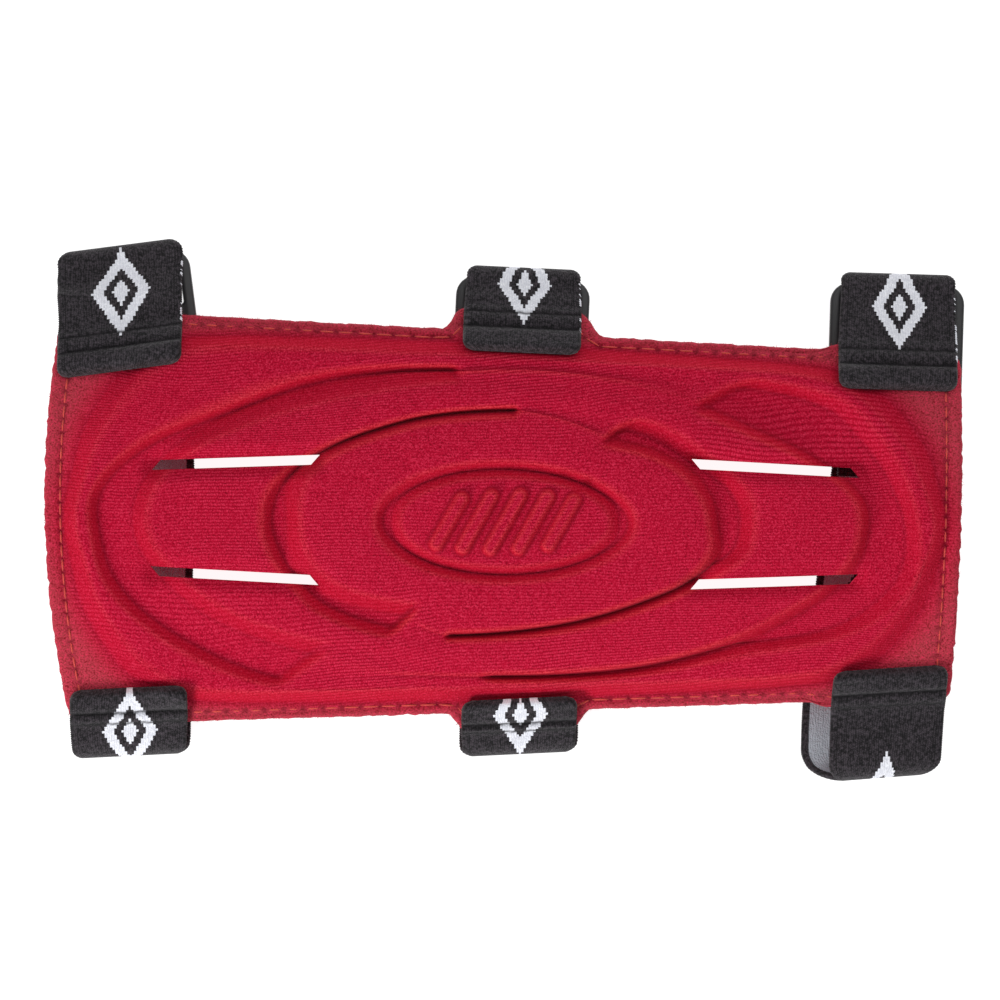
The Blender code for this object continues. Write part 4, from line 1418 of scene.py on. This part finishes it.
def curve_between(start: tuple, start_slope: tuple, stop: tuple, stop_slope: tuple, steps: int) -> list:
    """Points of a cubic between two (y, z) points, without its first one."""
    pull = (Vector(stop) - Vector(start)).length / 2.2
    a, d = Vector(start), Vector(stop)
    b = a + Vector(start_slope).normalized() * pull
    c = d - Vector(stop_slope).normalized() * pull
    points = []
    for i in range(1, steps + 1):
        t = i / steps
        points.append(a * (1 - t) ** 3 + b * 3 * t * (1 - t) ** 2 + c * 3 * t * t * (1 - t) + d * t**3)
    return [(p.x, p.y) for p in points]


def along(anchor: tuple[float, float], turn: float, distance: float) -> tuple[float, float]:
    """Point at a distance along a tape's own +Y from an anchor."""
    a = math.radians(turn)
    return anchor[0] - math.sin(a) * distance, anchor[1] + math.cos(a) * distance


@dataclass
class Tape:
    """A length of elastic tape at one station, as fine sections with a knitted selvedge."""

    station: Station
    shape: PanelShape
    placement: Placement
    sizes: TapeSizes
    row_step: float = 0.00024
    columns: int = 26
    loop_depth: float = 0.00017
    hem_rounding: float = 0.0018
    seam_width: float = 0.00030
    seam_wave: float = 0.00022
    selvedge_room: float = 0.0005
    selvedge_bulge: float = 0.0006
    level_rounds: int = 26
    phase: float = 0.0

    def anchor(self, station: Station) -> tuple[float, float]:
        """The point of the panel's edge that a tape crosses."""
        x = station.x * self.shape.half_length
        return x, self.shape.edge(x, station.side)

    def face_height(self) -> float:
        """Height of the tape's inner face on the panel's edge."""
        x, y = self.anchor(self.station)
        base = self.shape.underside(np.array([x]), np.array([y]))[0]
        return base + self.shape.border_thickness + self.sizes.hem_gap

    def edge_slope(self) -> float:
        """Slope of the panel's face where it leaves its edge."""
        x, y = self.anchor(self.station)
        return -2 * self.shape.arch_rise * abs(y) / self.shape.half_width(x) ** 2

    def near_bar(self, station: Station) -> float:
        """Distance from the panel's edge to the middle of the bar in the tab's turn."""
        reach = self.sizes.longest_reach * station.reach
        return reach - self.sizes.solid_thickness - self.sizes.wrap_radius

    def slider_point(self, station: Station, inwards: float) -> tuple[float, float]:
        """Point on a slider's own middle line, at a distance inwards from its bar in the tab."""
        bar = along(self.anchor(station), station.turn, self.near_bar(station))
        return along(bar, station.turn + station.skew, -inwards)

    def seams(self) -> tuple[float, float]:
        """Distances of the two hem seams from the panel's edge, the inner one first."""
        z = self.sizes
        inner = z.hem_end - z.longest_hem * self.station.hem
        return inner, min(inner + z.stitch_pitch, -z.hem_margin)

    def hem_rows(self) -> list[tuple[float, float]]:
        """(distance from the panel's edge, thickness) along the hem: rolled end, two seams."""
        z = self.sizes
        hem = z.longest_hem * self.station.hem
        last_seam, first_seam = self.seams()
        dent = z.hem_thickness - z.seam_dent
        rows = [
            (-hem, z.hem_thickness * 0.30),
            (-hem + 0.00025, z.hem_thickness * 0.66),
            (-hem + 0.0008, z.hem_thickness * 0.93),
            (-hem + 0.0016, z.hem_thickness),
            (last_seam - 0.0009, z.hem_thickness * 0.97),
            (last_seam - 0.0003, dent + 0.00025),
            (last_seam, dent),
            (last_seam + 0.0003, dent + 0.00025),
            ((last_seam + first_seam) / 2, z.hem_thickness * 0.90),
            (first_seam - 0.0003, dent + 0.0002),
            (first_seam, dent),
            (first_seam + 0.0004, dent + 0.0001),
            (first_seam + 0.0014, z.thickness * 1.12),
        ]
        return [row for row in rows if row[0] <= -z.hem_margin]

    def front(self, own_y: float, z: float, size: tuple[float, float], resting: Resting) -> Section:
        """A section of the leg that lies on the panel's face, with its thickness and width."""
        s = self.station
        x, y = along(self.anchor(s), s.turn, own_y)
        return Section(x, y, s.turn + s.skew, own_y, z, *size, resting)

    def hem(self, width: float) -> list[Section]:
        """The sections of the hem, from its rolled end to the panel's edge."""
        made = []
        for distance, thickness in self.hem_rows():
            own_y = self.station.side.value * distance
            z = self.face_height() + self.edge_slope() * distance
            made.append(self.front(own_y, z, (thickness, width), Resting.FACE))
        return made

    def profile(self) -> list[Section]:
        """All the sections of the tape, in order."""
        raise NotImplementedError

    def fine_rows(self) -> tuple[np.ndarray, np.ndarray, list[Resting]]:
        """The profile's sections at an even, fine spacing.

        Returns:
            Rows of x, y, across, own_y, z, thickness and width, the distance walked at each,
            and what each lies on.
        """
        coarse = self.profile()
        values = np.array([section[:7] for section in coarse])
        steps = np.hypot(np.diff(values[:, 3]), np.diff(values[:, 4]))
        walked = np.concatenate([[0.0], np.cumsum(np.maximum(steps, 1e-5))])
        count = int(walked[-1] / self.row_step)
        at = np.linspace(0.0, walked[-1], count)
        index = np.clip(np.searchsorted(walked, at, side="right") - 1, 0, len(walked) - 2)
        span = walked[index + 1] - walked[index]
        t = ((at - walked[index]) / span)[:, None]
        slope = np.gradient(values, walked, axis=0)
        v0, v1 = values[index], values[index + 1]
        m0, m1 = slope[index] * span[:, None], slope[index + 1] * span[:, None]
        fine = cubic(t, v0, m0, v1, m1)
        nearest = index + (t[:, 0] > 0.5)
        return fine, at, [coarse[i].resting for i in nearest]

    def rest(self, x: np.ndarray, y: np.ndarray, z: np.ndarray, resting: Resting) -> np.ndarray:
        """Heights of the tape's inner face at points, kept off what it lies on."""
        if resting is Resting.FREE:
            return z
        shape, sizes = self.shape, self.sizes
        if resting is Resting.FACE:
            return shape.stiff_top(x, y, sizes.hem_bridge) + sizes.hem_gap
        if resting is Resting.UNDERSIDE:
            return shape.underside(x, y) - sizes.hem_gap
        edges = np.array([abs(shape.edge(float(v), self.station.side)) for v in x])
        past = np.abs(y) - edges
        if resting is Resting.OVER_EDGE:
            top = shape.stiff_top(x, y, sizes.hem_bridge) + sizes.hem_gap
            return np.where(past < sizes.edge_margin, np.maximum(z, top), z)
        under = shape.underside(x, y) - sizes.hem_gap
        return np.where(past < sizes.edge_margin / 4, np.minimum(z, under), z)

    @staticmethod
    def corner_cut(beyond: np.ndarray, radius: float) -> np.ndarray:
        """How much narrower rounded corners make each side, by distance from the tape's tip."""
        inwards = np.clip(radius - beyond, 0.0, radius)
        return radius - np.sqrt(radius**2 - inwards**2)

    @staticmethod
    def selvedge(low: np.ndarray, high: np.ndarray, out: np.ndarray) -> list[np.ndarray]:
        """Three points round a selvedge, from the inner face to the outer one."""
        return [
            high * 0.15 + low * 0.85 + out * 0.72,
            (low + high) / 2 + out,
            high * 0.85 + low * 0.15 + out * 0.72,
        ]

    def inner_lines(
        self, fine: np.ndarray, rounded: np.ndarray, resting: list[Resting]
    ) -> np.ndarray:
        """The line across the tape's inner face at each section.

        Args:
            fine: the sections, as fine_rows gives them.
            rounded: how much narrower rounded corners make each side.
            resting: what each section lies on.

        Returns:
            x, y and z of the columns of each section.
        """
        shares = np.linspace(-1.0, 1.0, self.columns)
        lines = []
        for i, (x, y, across, _, z, _, width) in enumerate(fine):
            a = math.radians(across)
            loop = self.loop_depth * (i % 2)
            reach = width / 2 - rounded[i] - loop - self.selvedge_room
            px = x + math.cos(a) * reach * shares
            py = y + math.sin(a) * reach * shares
            pz = self.rest(px, py, np.full(self.columns, z), resting[i])
            lines.append(np.stack([px, py, pz], axis=1))
        made = np.array(lines)
        made[:, :, 2] = self.level_rows(made[:, :, 2], resting)
        return made

    def build(self, name: str) -> bpy.types.Object:
        """Makes the tape's mesh, with its weave coordinates and what the weave reads."""
        fine, walked, resting = self.fine_rows()
        side = self.station.side.value
        heading = np.gradient(fine[:, 3:5], walked, axis=0)
        heading /= np.linalg.norm(heading, axis=1)[:, None]
        out_y, out_z = -side * heading[:, 1], side * heading[:, 0]
        tips = np.abs(fine[:, 3] + fine[:, 5] * out_y) * (np.sign(fine[:, 3]) == side)
        rounded = self.corner_cut(tips.max() - tips, self.station.rounding)
        rounded += self.corner_cut(walked, self.hem_rounding)
        rows = []
        for i, inner in enumerate(self.inner_lines(fine, rounded, resting)):
            a, thickness = math.radians(fine[i, 2]), fine[i, 5]
            lift = np.array([-math.sin(a) * out_y[i], math.cos(a) * out_y[i], out_z[i]])
            outer = inner + lift * thickness
            sideways = np.array([math.cos(a), math.sin(a), 0.0])
            out = sideways * min(thickness * 0.42, self.selvedge_bulge)
            right = self.selvedge(inner[-1], outer[-1], out)
            left = self.selvedge(inner[0], outer[0], -out)
            rows.append(np.vstack([inner, *right, outer[::-1], *reversed(left)]))
        u = np.linspace(0.0, 1.0, self.columns)
        u_ring = np.concatenate([u, [1.0, 1.01, 1.0], u[::-1], [0.0, -0.01, 0.0]])
        v = walked / self.sizes.width + self.phase
        uv = np.stack([np.tile(u_ring, len(v)), np.repeat(v, len(u_ring))], axis=1)
        made = self.skin(name, rows, uv)
        self.mark(made, side * fine[:, 3:4], u_ring, resting)
        return made

    def mark(
        self, made: bpy.types.Object, past_edge: np.ndarray, u: np.ndarray, resting: list[Resting]
    ) -> None:
        """Stores what the weave reads: the reverse, the seams' dents that it paints with shade and the
        specks at the selvedge.

        Args:
            made: the tape.
            past_edge: distance of each section past the panel's edge, as a column.
            u: place across the tape of each vertex of a ring.
            resting: what each section lies on.
        """
        n = self.columns
        inner_face, right_selvedge = np.zeros(len(u)), np.zeros(len(u))
        inner_face[:n] = 1.0
        right_selvedge[n - 1 : n + 3] = 1.0
        shown = np.array([r is not Resting.FACE for r in resting], dtype=float)
        wave = self.seam_wave * np.sin(19 * u + 5 * self.phase) * np.cos(41 * u)
        distance = past_edge + wave
        dents = sum(np.exp(-(((distance - seam) / self.seam_width) ** 2)) for seam in self.seams())
        sewn = np.array([r in (Resting.FACE, Resting.OVER_EDGE) for r in resting])
        set_attribute(made, "reverse", np.outer(shown, inner_face).ravel())
        # mask for the painted shade in the hem seams' dents
        set_attribute(made, "seam", (0.9 * dents * sewn[:, None]).ravel())
        set_attribute(made, "speck", np.outer(self.specks(len(resting)), right_selvedge).ravel())

    def specks(self, count: int) -> np.ndarray:
        """Which sections show the light reverse at the selvedge: none on a strap."""
        return np.zeros(count)

    def level_rows(self, heights: np.ndarray, resting: list[Resting]) -> np.ndarray:
        """Smooths the heights along the tape where it lies on the panel."""
        smooth = heights.copy()
        touching = np.array([r is not Resting.FREE for r in resting])
        for _ in range(self.level_rounds):
            mean = smooth.copy()
            mean[1:-1] = (smooth[:-2] + smooth[2:]) / 2
            mean[:, 1:-1] = (mean[:, 1:-1] + (mean[:, :-2] + mean[:, 2:]) / 2) / 2
            eased = np.maximum(mean, heights)
            smooth = np.where(touching[:, None], eased, heights)
        return smooth

    def skin(self, name: str, rows: list[np.ndarray], uv: np.ndarray) -> bpy.types.Object:
        """Joins rings of points into a closed tape.

        Args:
            name: the object's name.
            rows: one ring of points for each section.
            uv: weave coordinates of each point.

        Returns:
            The tape's object.
        """
        count = len(rows[0])
        ring = np.arange(count)
        after = (ring + 1) % count
        faces = []
        for a in range(0, (len(rows) - 1) * count, count):
            b = a + count
            faces.append(np.stack([a + ring, a + after, b + after, b + ring], axis=1))
        quads = np.vstack(faces).tolist()
        n = self.columns
        for base in (0, (len(rows) - 1) * count):
            bottom = [base + k for k in range(n)]
            top = [base + 2 * n + 2 - k for k in range(n)]
            right = [base + n + k for k in range(3)]
            left = [base + 2 * n + 3 + k for k in range(3)]
            quads += [(bottom[k], bottom[k + 1], top[k + 1], top[k]) for k in range(n - 1)]
            quads += [(bottom[-1], *right, top[-1]), (top[0], *left, bottom[0])]
        made = new_mesh(name, self.placement.shift(np.vstack(rows)), quads, uv)
        face_outwards(made)
        make_active(made)
        bpy.ops.object.shade_smooth_by_angle(angle=math.radians(60))
        return made


@dataclass
class Tab(Tape):
    """A short loop round the slider's outer bar, sewn to the panel's slider edge."""

    def specks(self, count: int) -> np.ndarray:
        """Which sections show the light reverse at the selvedge, in short uneven runs."""
        rng = np.random.default_rng(7 + int(100 * self.station.motif))
        lengths = rng.integers(1, 5, count)
        runs = np.repeat(rng.random(count) < 0.4, lengths)[:count]
        row = np.arange(count)
        front = (row > 0.12 * count) & (row < 0.44 * count)
        return (runs & front).astype(float)

    def back(self, own_y: float, z: float, resting: Resting) -> Section:
        """A section of the leg behind the slider's bar."""
        s = self.station
        x, y = self.slider_point(s, self.near_bar(s) - own_y)
        size = (self.sizes.thickness, self.sizes.bar_width)
        return Section(x, y, s.turn + s.skew, own_y, z, *size, resting)

    def profile(self) -> list[Section]:
        """Front leg, turn around the slider's bar, and the leg behind the edge."""
        z = self.sizes
        bar = self.near_bar(self.station)
        slope = self.edge_slope()
        inset = (z.solid_thickness - z.thickness) / 2
        radius = z.wrap_radius + inset
        hem_width = z.width * self.station.hem_width
        turn_width = z.width * self.station.turn_width
        bow = self.station.sweep * z.width
        made = self.hem(hem_width)
        top = (bar, z.bar_height + radius)
        for y, height in curve_between((0.0, self.face_height()), (1, slope), top, (1, -0.25), 10):
            width = hem_width + (turn_width - hem_width) * float(smooth_step(y / bar))
            section = self.front(y, height, (z.thickness, width), Resting.OVER_EDGE)
            aside = bow * float(smooth_step(2 * y / bar))
            made.append(section._replace(x=section.x + aside))
        turn = arc((bar, z.bar_height), radius, 70, -90 - z.tab_climb, 16)
        for i, (y, height) in enumerate(turn):
            left = 1 - float(smooth_step((i - 7) / 5))
            section = self.back(y, height, Resting.FREE)
            width = z.bar_width + (turn_width - z.bar_width) * left
            made.append(section._replace(x=section.x + bow * left, width=width))
        climb = (-math.cos(math.radians(z.tab_climb)), math.sin(math.radians(z.tab_climb)))
        x, y = self.anchor(self.station)
        behind = self.shape.underside(np.array([x]), np.array([y]))[0] - z.hem_gap
        start = (made[-1].own_y, made[-1].z)
        for y, height in curve_between(start, climb, (-z.edge_margin / 2, behind), (-1, 0), 12):
            made.append(self.back(y, height, Resting.UNDER_EDGE))
        for share in (0.2, 0.3, 0.4, 0.5, 0.56):
            y = -share * z.longest_hem
            made.append(self.back(y, behind + slope * y, Resting.UNDERSIDE))
        return made


@dataclass
class Strap(Tape):
    """A long tape sewn to the fold edge, run under the panel to its slider and doubled back."""

    fold_steps: int = 14
    run_steps: int = 30

    def fold(self) -> list[Section]:
        """The round fold past the panel's edge and the start of the leg under it."""
        z, s, n = self.sizes, self.station, self.fold_steps
        face, flat = self.face_height(), z.thickness
        hem_width, turn_width = z.width * s.hem_width, z.width * s.turn_width
        tip = z.longest_reach * s.reach - z.solid_thickness
        middle = (face + flat) / 2
        points = curve_between((0.0, face), (-1, self.edge_slope()), (-tip, middle), (0, -1), n)
        points += curve_between((-tip, middle), (0, -1), (-tip / 2, flat), (1, 0), n)
        made = []
        for i, (own_y, height) in enumerate(points):
            t = max(0.0, (i - n + 6) / (n + 4))
            x, y = along(self.anchor(s), s.turn, own_y)
            x += z.width * s.sweep * float(smooth_step(t))
            turn = s.turn + s.skew + z.sweep_turn * s.sweep * t
            share = float(smooth_step(1.0 - abs(i + 1 - n) / n))
            width = between(hem_width if i < n else z.width, turn_width, share)
            resting = Resting.OVER_EDGE if i < n // 2 else Resting.FREE
            made.append(Section(x, y, turn, own_y, height, flat, width, resting))
        return made

    def run(self, start: Section, bar: tuple[float, float], far_turn: float) -> list[Section]:
        """The leg that lies on the table, from the fold to below the slider's far bar."""
        z = self.sizes
        length = math.hypot(bar[0] - start.x, bar[1] - start.y)
        made = []
        for i in range(1, self.run_steps):
            t = i / self.run_steps
            ease = float(smooth_step(t))
            x = between(start.x, bar[0], ease)
            y = between(start.y, bar[1], t)
            turn = between(start.across, far_turn, ease)
            width = between(z.width, z.bar_width, float(smooth_step(3 * t - 2)))
            place = (x, y, turn, start.own_y + length * t, z.thickness)
            made.append(Section(*place, z.thickness, width, Resting.FREE))
        return made

    def doubled(self, far: Station, inwards: float, at_bar: float) -> list[Section]:
        """The turn around the slider's far bar and the end that lies back on the leg.

        Args:
            far: the station of the tab that holds the slider.
            inwards: distance of the far bar from the bar in the tab.
            at_bar: place of the far bar along the tape.

        Returns:
            The sections, in order.
        """
        z = self.sizes
        flat = z.thickness
        radius = z.wrap_radius + (z.solid_thickness - flat)
        wrap = arc((0.0, z.bar_height), radius, -90, 110, 14)
        level = 2 * flat + z.gap
        settle = curve_between(wrap[-1], (-1, -0.5), (-z.turn_back * 0.55, level), (-1, 0), 10)
        made = []
        for beyond, height in [*wrap, *settle, (-z.turn_back * 0.8, level), (-z.turn_back, level)]:
            x, y = self.slider_point(far, inwards - beyond)
            place = (x, y, far.turn + far.skew, at_bar + beyond, height)
            made.append(Section(*place, flat, z.bar_width, Resting.FREE))
        return made

    def profile(self) -> list[Section]:
        """Hem, round fold, leg on the table, turn around the slider and the doubled end."""
        z, s = self.sizes, self.station
        far = next(t for t in STATIONS if t.name == s.name and t.side is Side.SLIDERS)
        inwards = 2 * z.slider_slot + 2 * z.slider_bar
        made = self.hem(z.width * s.hem_width) + self.fold()
        start = made[-1]
        bar = self.slider_point(far, inwards)
        made += self.run(start, bar, far.turn + far.skew)
        at_bar = start.own_y + math.hypot(bar[0] - start.x, bar[1] - start.y)
        return made + self.doubled(far, inwards, at_bar)


@dataclass
class HemSeams:
    """The two rows of stitches that hold each tape to the panel."""

    tapes: Sequence[Tape]
    stitch: float = 0.0024
    radius: float = 0.00020
    stand: float = 0.00022
    sunk: float = 0.0001
    margin: float = 0.0012
    steps: int = 5

    def bar(self, tape: Tape, middle: tuple[float, float], start: float) -> np.ndarray:
        """Vertices of one stitch, ring by ring.

        Args:
            tape: the tape that it holds.
            middle: x and y of the seam's middle.
            start: distance along the seam from its middle to the stitch's start.

        Returns:
            One row of x, y and z for each vertex.
        """
        z, s = tape.sizes, tape.station
        a = math.radians(s.turn + s.skew)
        t = np.linspace(0, 1, self.steps)
        off = start + t * self.stitch * 0.72
        x = middle[0] + math.cos(a) * off
        y = middle[1] + math.sin(a) * off
        floor = tape.shape.stiff_top(x, y, z.hem_bridge) + z.hem_gap
        arch = np.sin(t * math.pi)
        height = floor + (z.hem_thickness - z.seam_dent) + self.stand * arch - self.sunk
        side = np.array([-math.sin(a), math.cos(a), 0.0])
        ring = []
        for px, py, pz, swell in zip(x, y, height, arch):
            r = self.radius * (0.5 + 0.5 * swell)
            centre, up = np.array([px, py, pz]), np.array([0.0, 0.0, r])
            ring += [centre + side * r, centre + up, centre - side * r, centre - up]
        return np.array(ring)

    def build(self) -> bpy.types.Object:
        """Makes all the stitches as one piece of small bent bars."""
        points, faces = [], []
        for tape in self.tapes:
            s, width = tape.station, tape.sizes.width
            count = int((width * s.hem_width - 2 * self.margin) / self.stitch)
            for distance in tape.seams():
                middle = along(tape.anchor(s), s.turn, s.side.value * distance)
                for i in range(count):
                    faces += tube_faces(len(points) * self.steps * 4, self.steps, 4)
                    points.append(self.bar(tape, middle, (i - count / 2 + 0.14) * self.stitch))
        made = new_mesh("hem_seams", self.tapes[0].placement.shift(np.vstack(points)), faces)
        face_outwards(made)
        return made


@dataclass
class Slider:
    """A flat plastic slider with three bars and rounded arms."""

    tape: Tape
    arm_round: float = 0.0009
    window_corner: float = 0.0006

    def block(self, size: tuple[float, float, float], corner: float) -> bpy.types.Object:
        """A block whose upright edges are rounded, from a cube bevelled in edit mode."""
        deselect_all()
        bpy.ops.mesh.primitive_cube_add(size=1.0)
        made = bpy.context.object
        bpy.ops.object.mode_set(mode="EDIT")
        bpy.ops.mesh.select_all(action="SELECT")
        bpy.ops.transform.resize(value=size)
        bpy.ops.mesh.select_all(action="DESELECT")
        bpy.ops.mesh.select_mode(type="EDGE")
        bm = bmesh.from_edit_mesh(made.data)
        for e in bm.edges:
            e.select_set(abs(e.verts[0].co.z - e.verts[1].co.z) > size[2] / 2)
        bmesh.update_edit_mesh(made.data)
        bpy.ops.mesh.bevel(offset=corner, segments=8, affect="EDGES")
        bpy.ops.object.mode_set(mode="OBJECT")
        return made

    def build(self) -> bpy.types.Object:
        """Makes the slider where its tab and its strap hold it."""
        z, s = self.tape.sizes, self.tape.station
        window = z.bar_width + 2 * z.slider_clearance
        length = 3 * z.slider_bar + 2 * z.slider_slot
        made = self.block((window + 2 * z.slider_side, length, z.slider_thickness), z.slider_corner)
        for sign in (-1, 1):
            size = (window, z.slider_slot, z.slider_thickness * 3)
            cutter = self.block(size, self.window_corner)
            for v in cutter.data.vertices:
                v.co.y += sign * (z.slider_slot + z.slider_bar) / 2
            cut_away(made, cutter)
        make_active(made)
        soften = made.modifiers.new("soft", "BEVEL")
        soften.width = self.arm_round
        soften.segments = 4
        soften.limit_method = "ANGLE"
        soften.angle_limit = math.radians(50)
        bpy.ops.object.modifier_apply(modifier=soften.name)
        x, y = self.tape.slider_point(s, z.slider_slot + z.slider_bar)
        a = math.radians(s.turn + s.skew)
        place = self.tape.placement
        for v in made.data.vertices:
            px, py = v.co.x, v.co.y
            v.co.x = place.x + x + math.cos(a) * px - math.sin(a) * py
            v.co.y = place.y + y + math.sin(a) * px + math.cos(a) * py
            v.co.z += z.bar_height
        bpy.ops.object.shade_smooth_by_angle(angle=math.radians(40))
        made.name = "slider_body_" + s.name
        return made


class Lamp(NamedTuple):
    """A square soft light that faces the guard."""

    name: str
    place: tuple[float, float, float]
    size: float
    power: float


@dataclass
class Studio:
    """White floor, soft light from the fold edge's wide corner, and the camera above."""

    placement: Placement
    lamps: tuple[Lamp, ...] = (
        Lamp("key", (-0.60, -0.75, 0.50), 0.36, 8.2),
        Lamp("fill", (0.2, 0.5, 0.95), 1.0, 4.5),
    )
    surroundings: float = 0.39
    paper_size: float = 6.0
    paper_drop: float = 0.0002
    distance: float = 1.5
    frame_width: float = 0.20833
    focus_height: float = 0.011
    tilt: float = 0.66
    aside: float = 0.00104
    below: float = 0.00458

    def floor(self) -> None:
        """Adds the paper that the guard lies on."""
        deselect_all()
        drop = (0.0, 0.0, -self.paper_drop)
        bpy.ops.mesh.primitive_plane_add(size=self.paper_size, location=drop)
        paper = bpy.context.object
        paper.name = "paper"
        paper.data.materials.append(PaperFinish().make())

    def light(self, lamp: Lamp) -> None:
        """Adds one lamp."""
        data = bpy.data.lights.new(lamp.name, "AREA")
        data.size = lamp.size
        data.energy = lamp.power
        light = bpy.data.objects.new(lamp.name, data)
        light.location = lamp.place
        light.rotation_euler = (-Vector(lamp.place)).to_track_quat("-Z", "Y").to_euler()
        bpy.context.scene.collection.objects.link(light)

    def lights(self) -> None:
        """Adds the lamps and the pale surroundings."""
        for lamp in self.lamps:
            self.light(lamp)
        world = bpy.data.worlds.new("surroundings")
        bpy.context.scene.world = world
        world.use_nodes = True
        inputs = world.node_tree.nodes["Background"].inputs
        inputs["Color"].default_value = (1.0, 1.0, 1.0, 1.0)
        inputs["Strength"].default_value = self.surroundings

    def camera(self) -> None:
        """Adds the camera straight above, turned as the photograph is."""
        data = bpy.data.cameras.new("above")
        data.sensor_width = 36.0
        data.lens = data.sensor_width * (self.distance - self.focus_height) / self.frame_width
        data.clip_start = 0.05
        data.clip_end = 20.0
        a = math.radians(self.tilt)
        right = Vector((math.cos(a), math.sin(a)))
        up = Vector((-math.sin(a), math.cos(a)))
        aim = Vector((self.placement.x, self.placement.y)) - right * self.aside + up * self.below
        camera = bpy.data.objects.new("above", data)
        camera.location = (aim.x, aim.y, self.distance)
        camera.rotation_euler = (0.0, 0.0, a)
        bpy.context.scene.collection.objects.link(camera)
        bpy.context.scene.camera = camera
        bpy.context.scene.view_settings.view_transform = "Standard"


def corners(box: tuple[Vector, Vector]) -> list[list[float]]:
    """A box's two corners as plain lists of numbers."""
    return [[float(v) for v in corner] for corner in box]


def main() -> None:
    """Builds the pieces in order and reports each one."""
    logging.basicConfig(level=logging.INFO, format="%(name)s: %(message)s")
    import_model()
    shape = PanelShape()
    placement = Placement(shape)
    sizes = TapeSizes()
    studio = Studio(placement)
    studio.camera()
    studio.lights()
    studio.floor()

    knit = KnitFinish().make()
    panel = Panel(shape, placement)
    panel.dress(panel.build(), knit)
    seam_thread = ThreadFinish("red_thread", (0.78, 0.070, 0.048), (0.46, 0.018, 0.020)).make()
    finish_piece(PerimeterSeam(panel).build(), seam_thread)
    finish_piece(EdgeFibres(panel).build(), knit)

    weave = TapeFinish().make()
    plastic = PlasticFinish().make()
    tapes: list[Tape] = []
    for s in STATIONS:
        tabbed = s.side is Side.SLIDERS
        tape = (Tab if tabbed else Strap)(s, shape, placement, sizes, phase=s.motif)
        tapes.append(tape)
        piece = tape.build(("tab_tape_" if tabbed else "strap_tape_") + s.name)
        finish_piece(piece, weave)
        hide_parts(("tab_" if tabbed else "strap_") + s.name)
        if tabbed:
            slider = Slider(tape).build()
            finish_piece(slider, plastic)
            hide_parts("slider_" + s.name)
    hem_thread = ThreadFinish("black_thread", (0.035, 0.033, 0.038), (0.010, 0.010, 0.012)).make()
    finish_piece(HemSeams(tapes).build(), hem_thread)


if __name__ == "__main__":
    main()
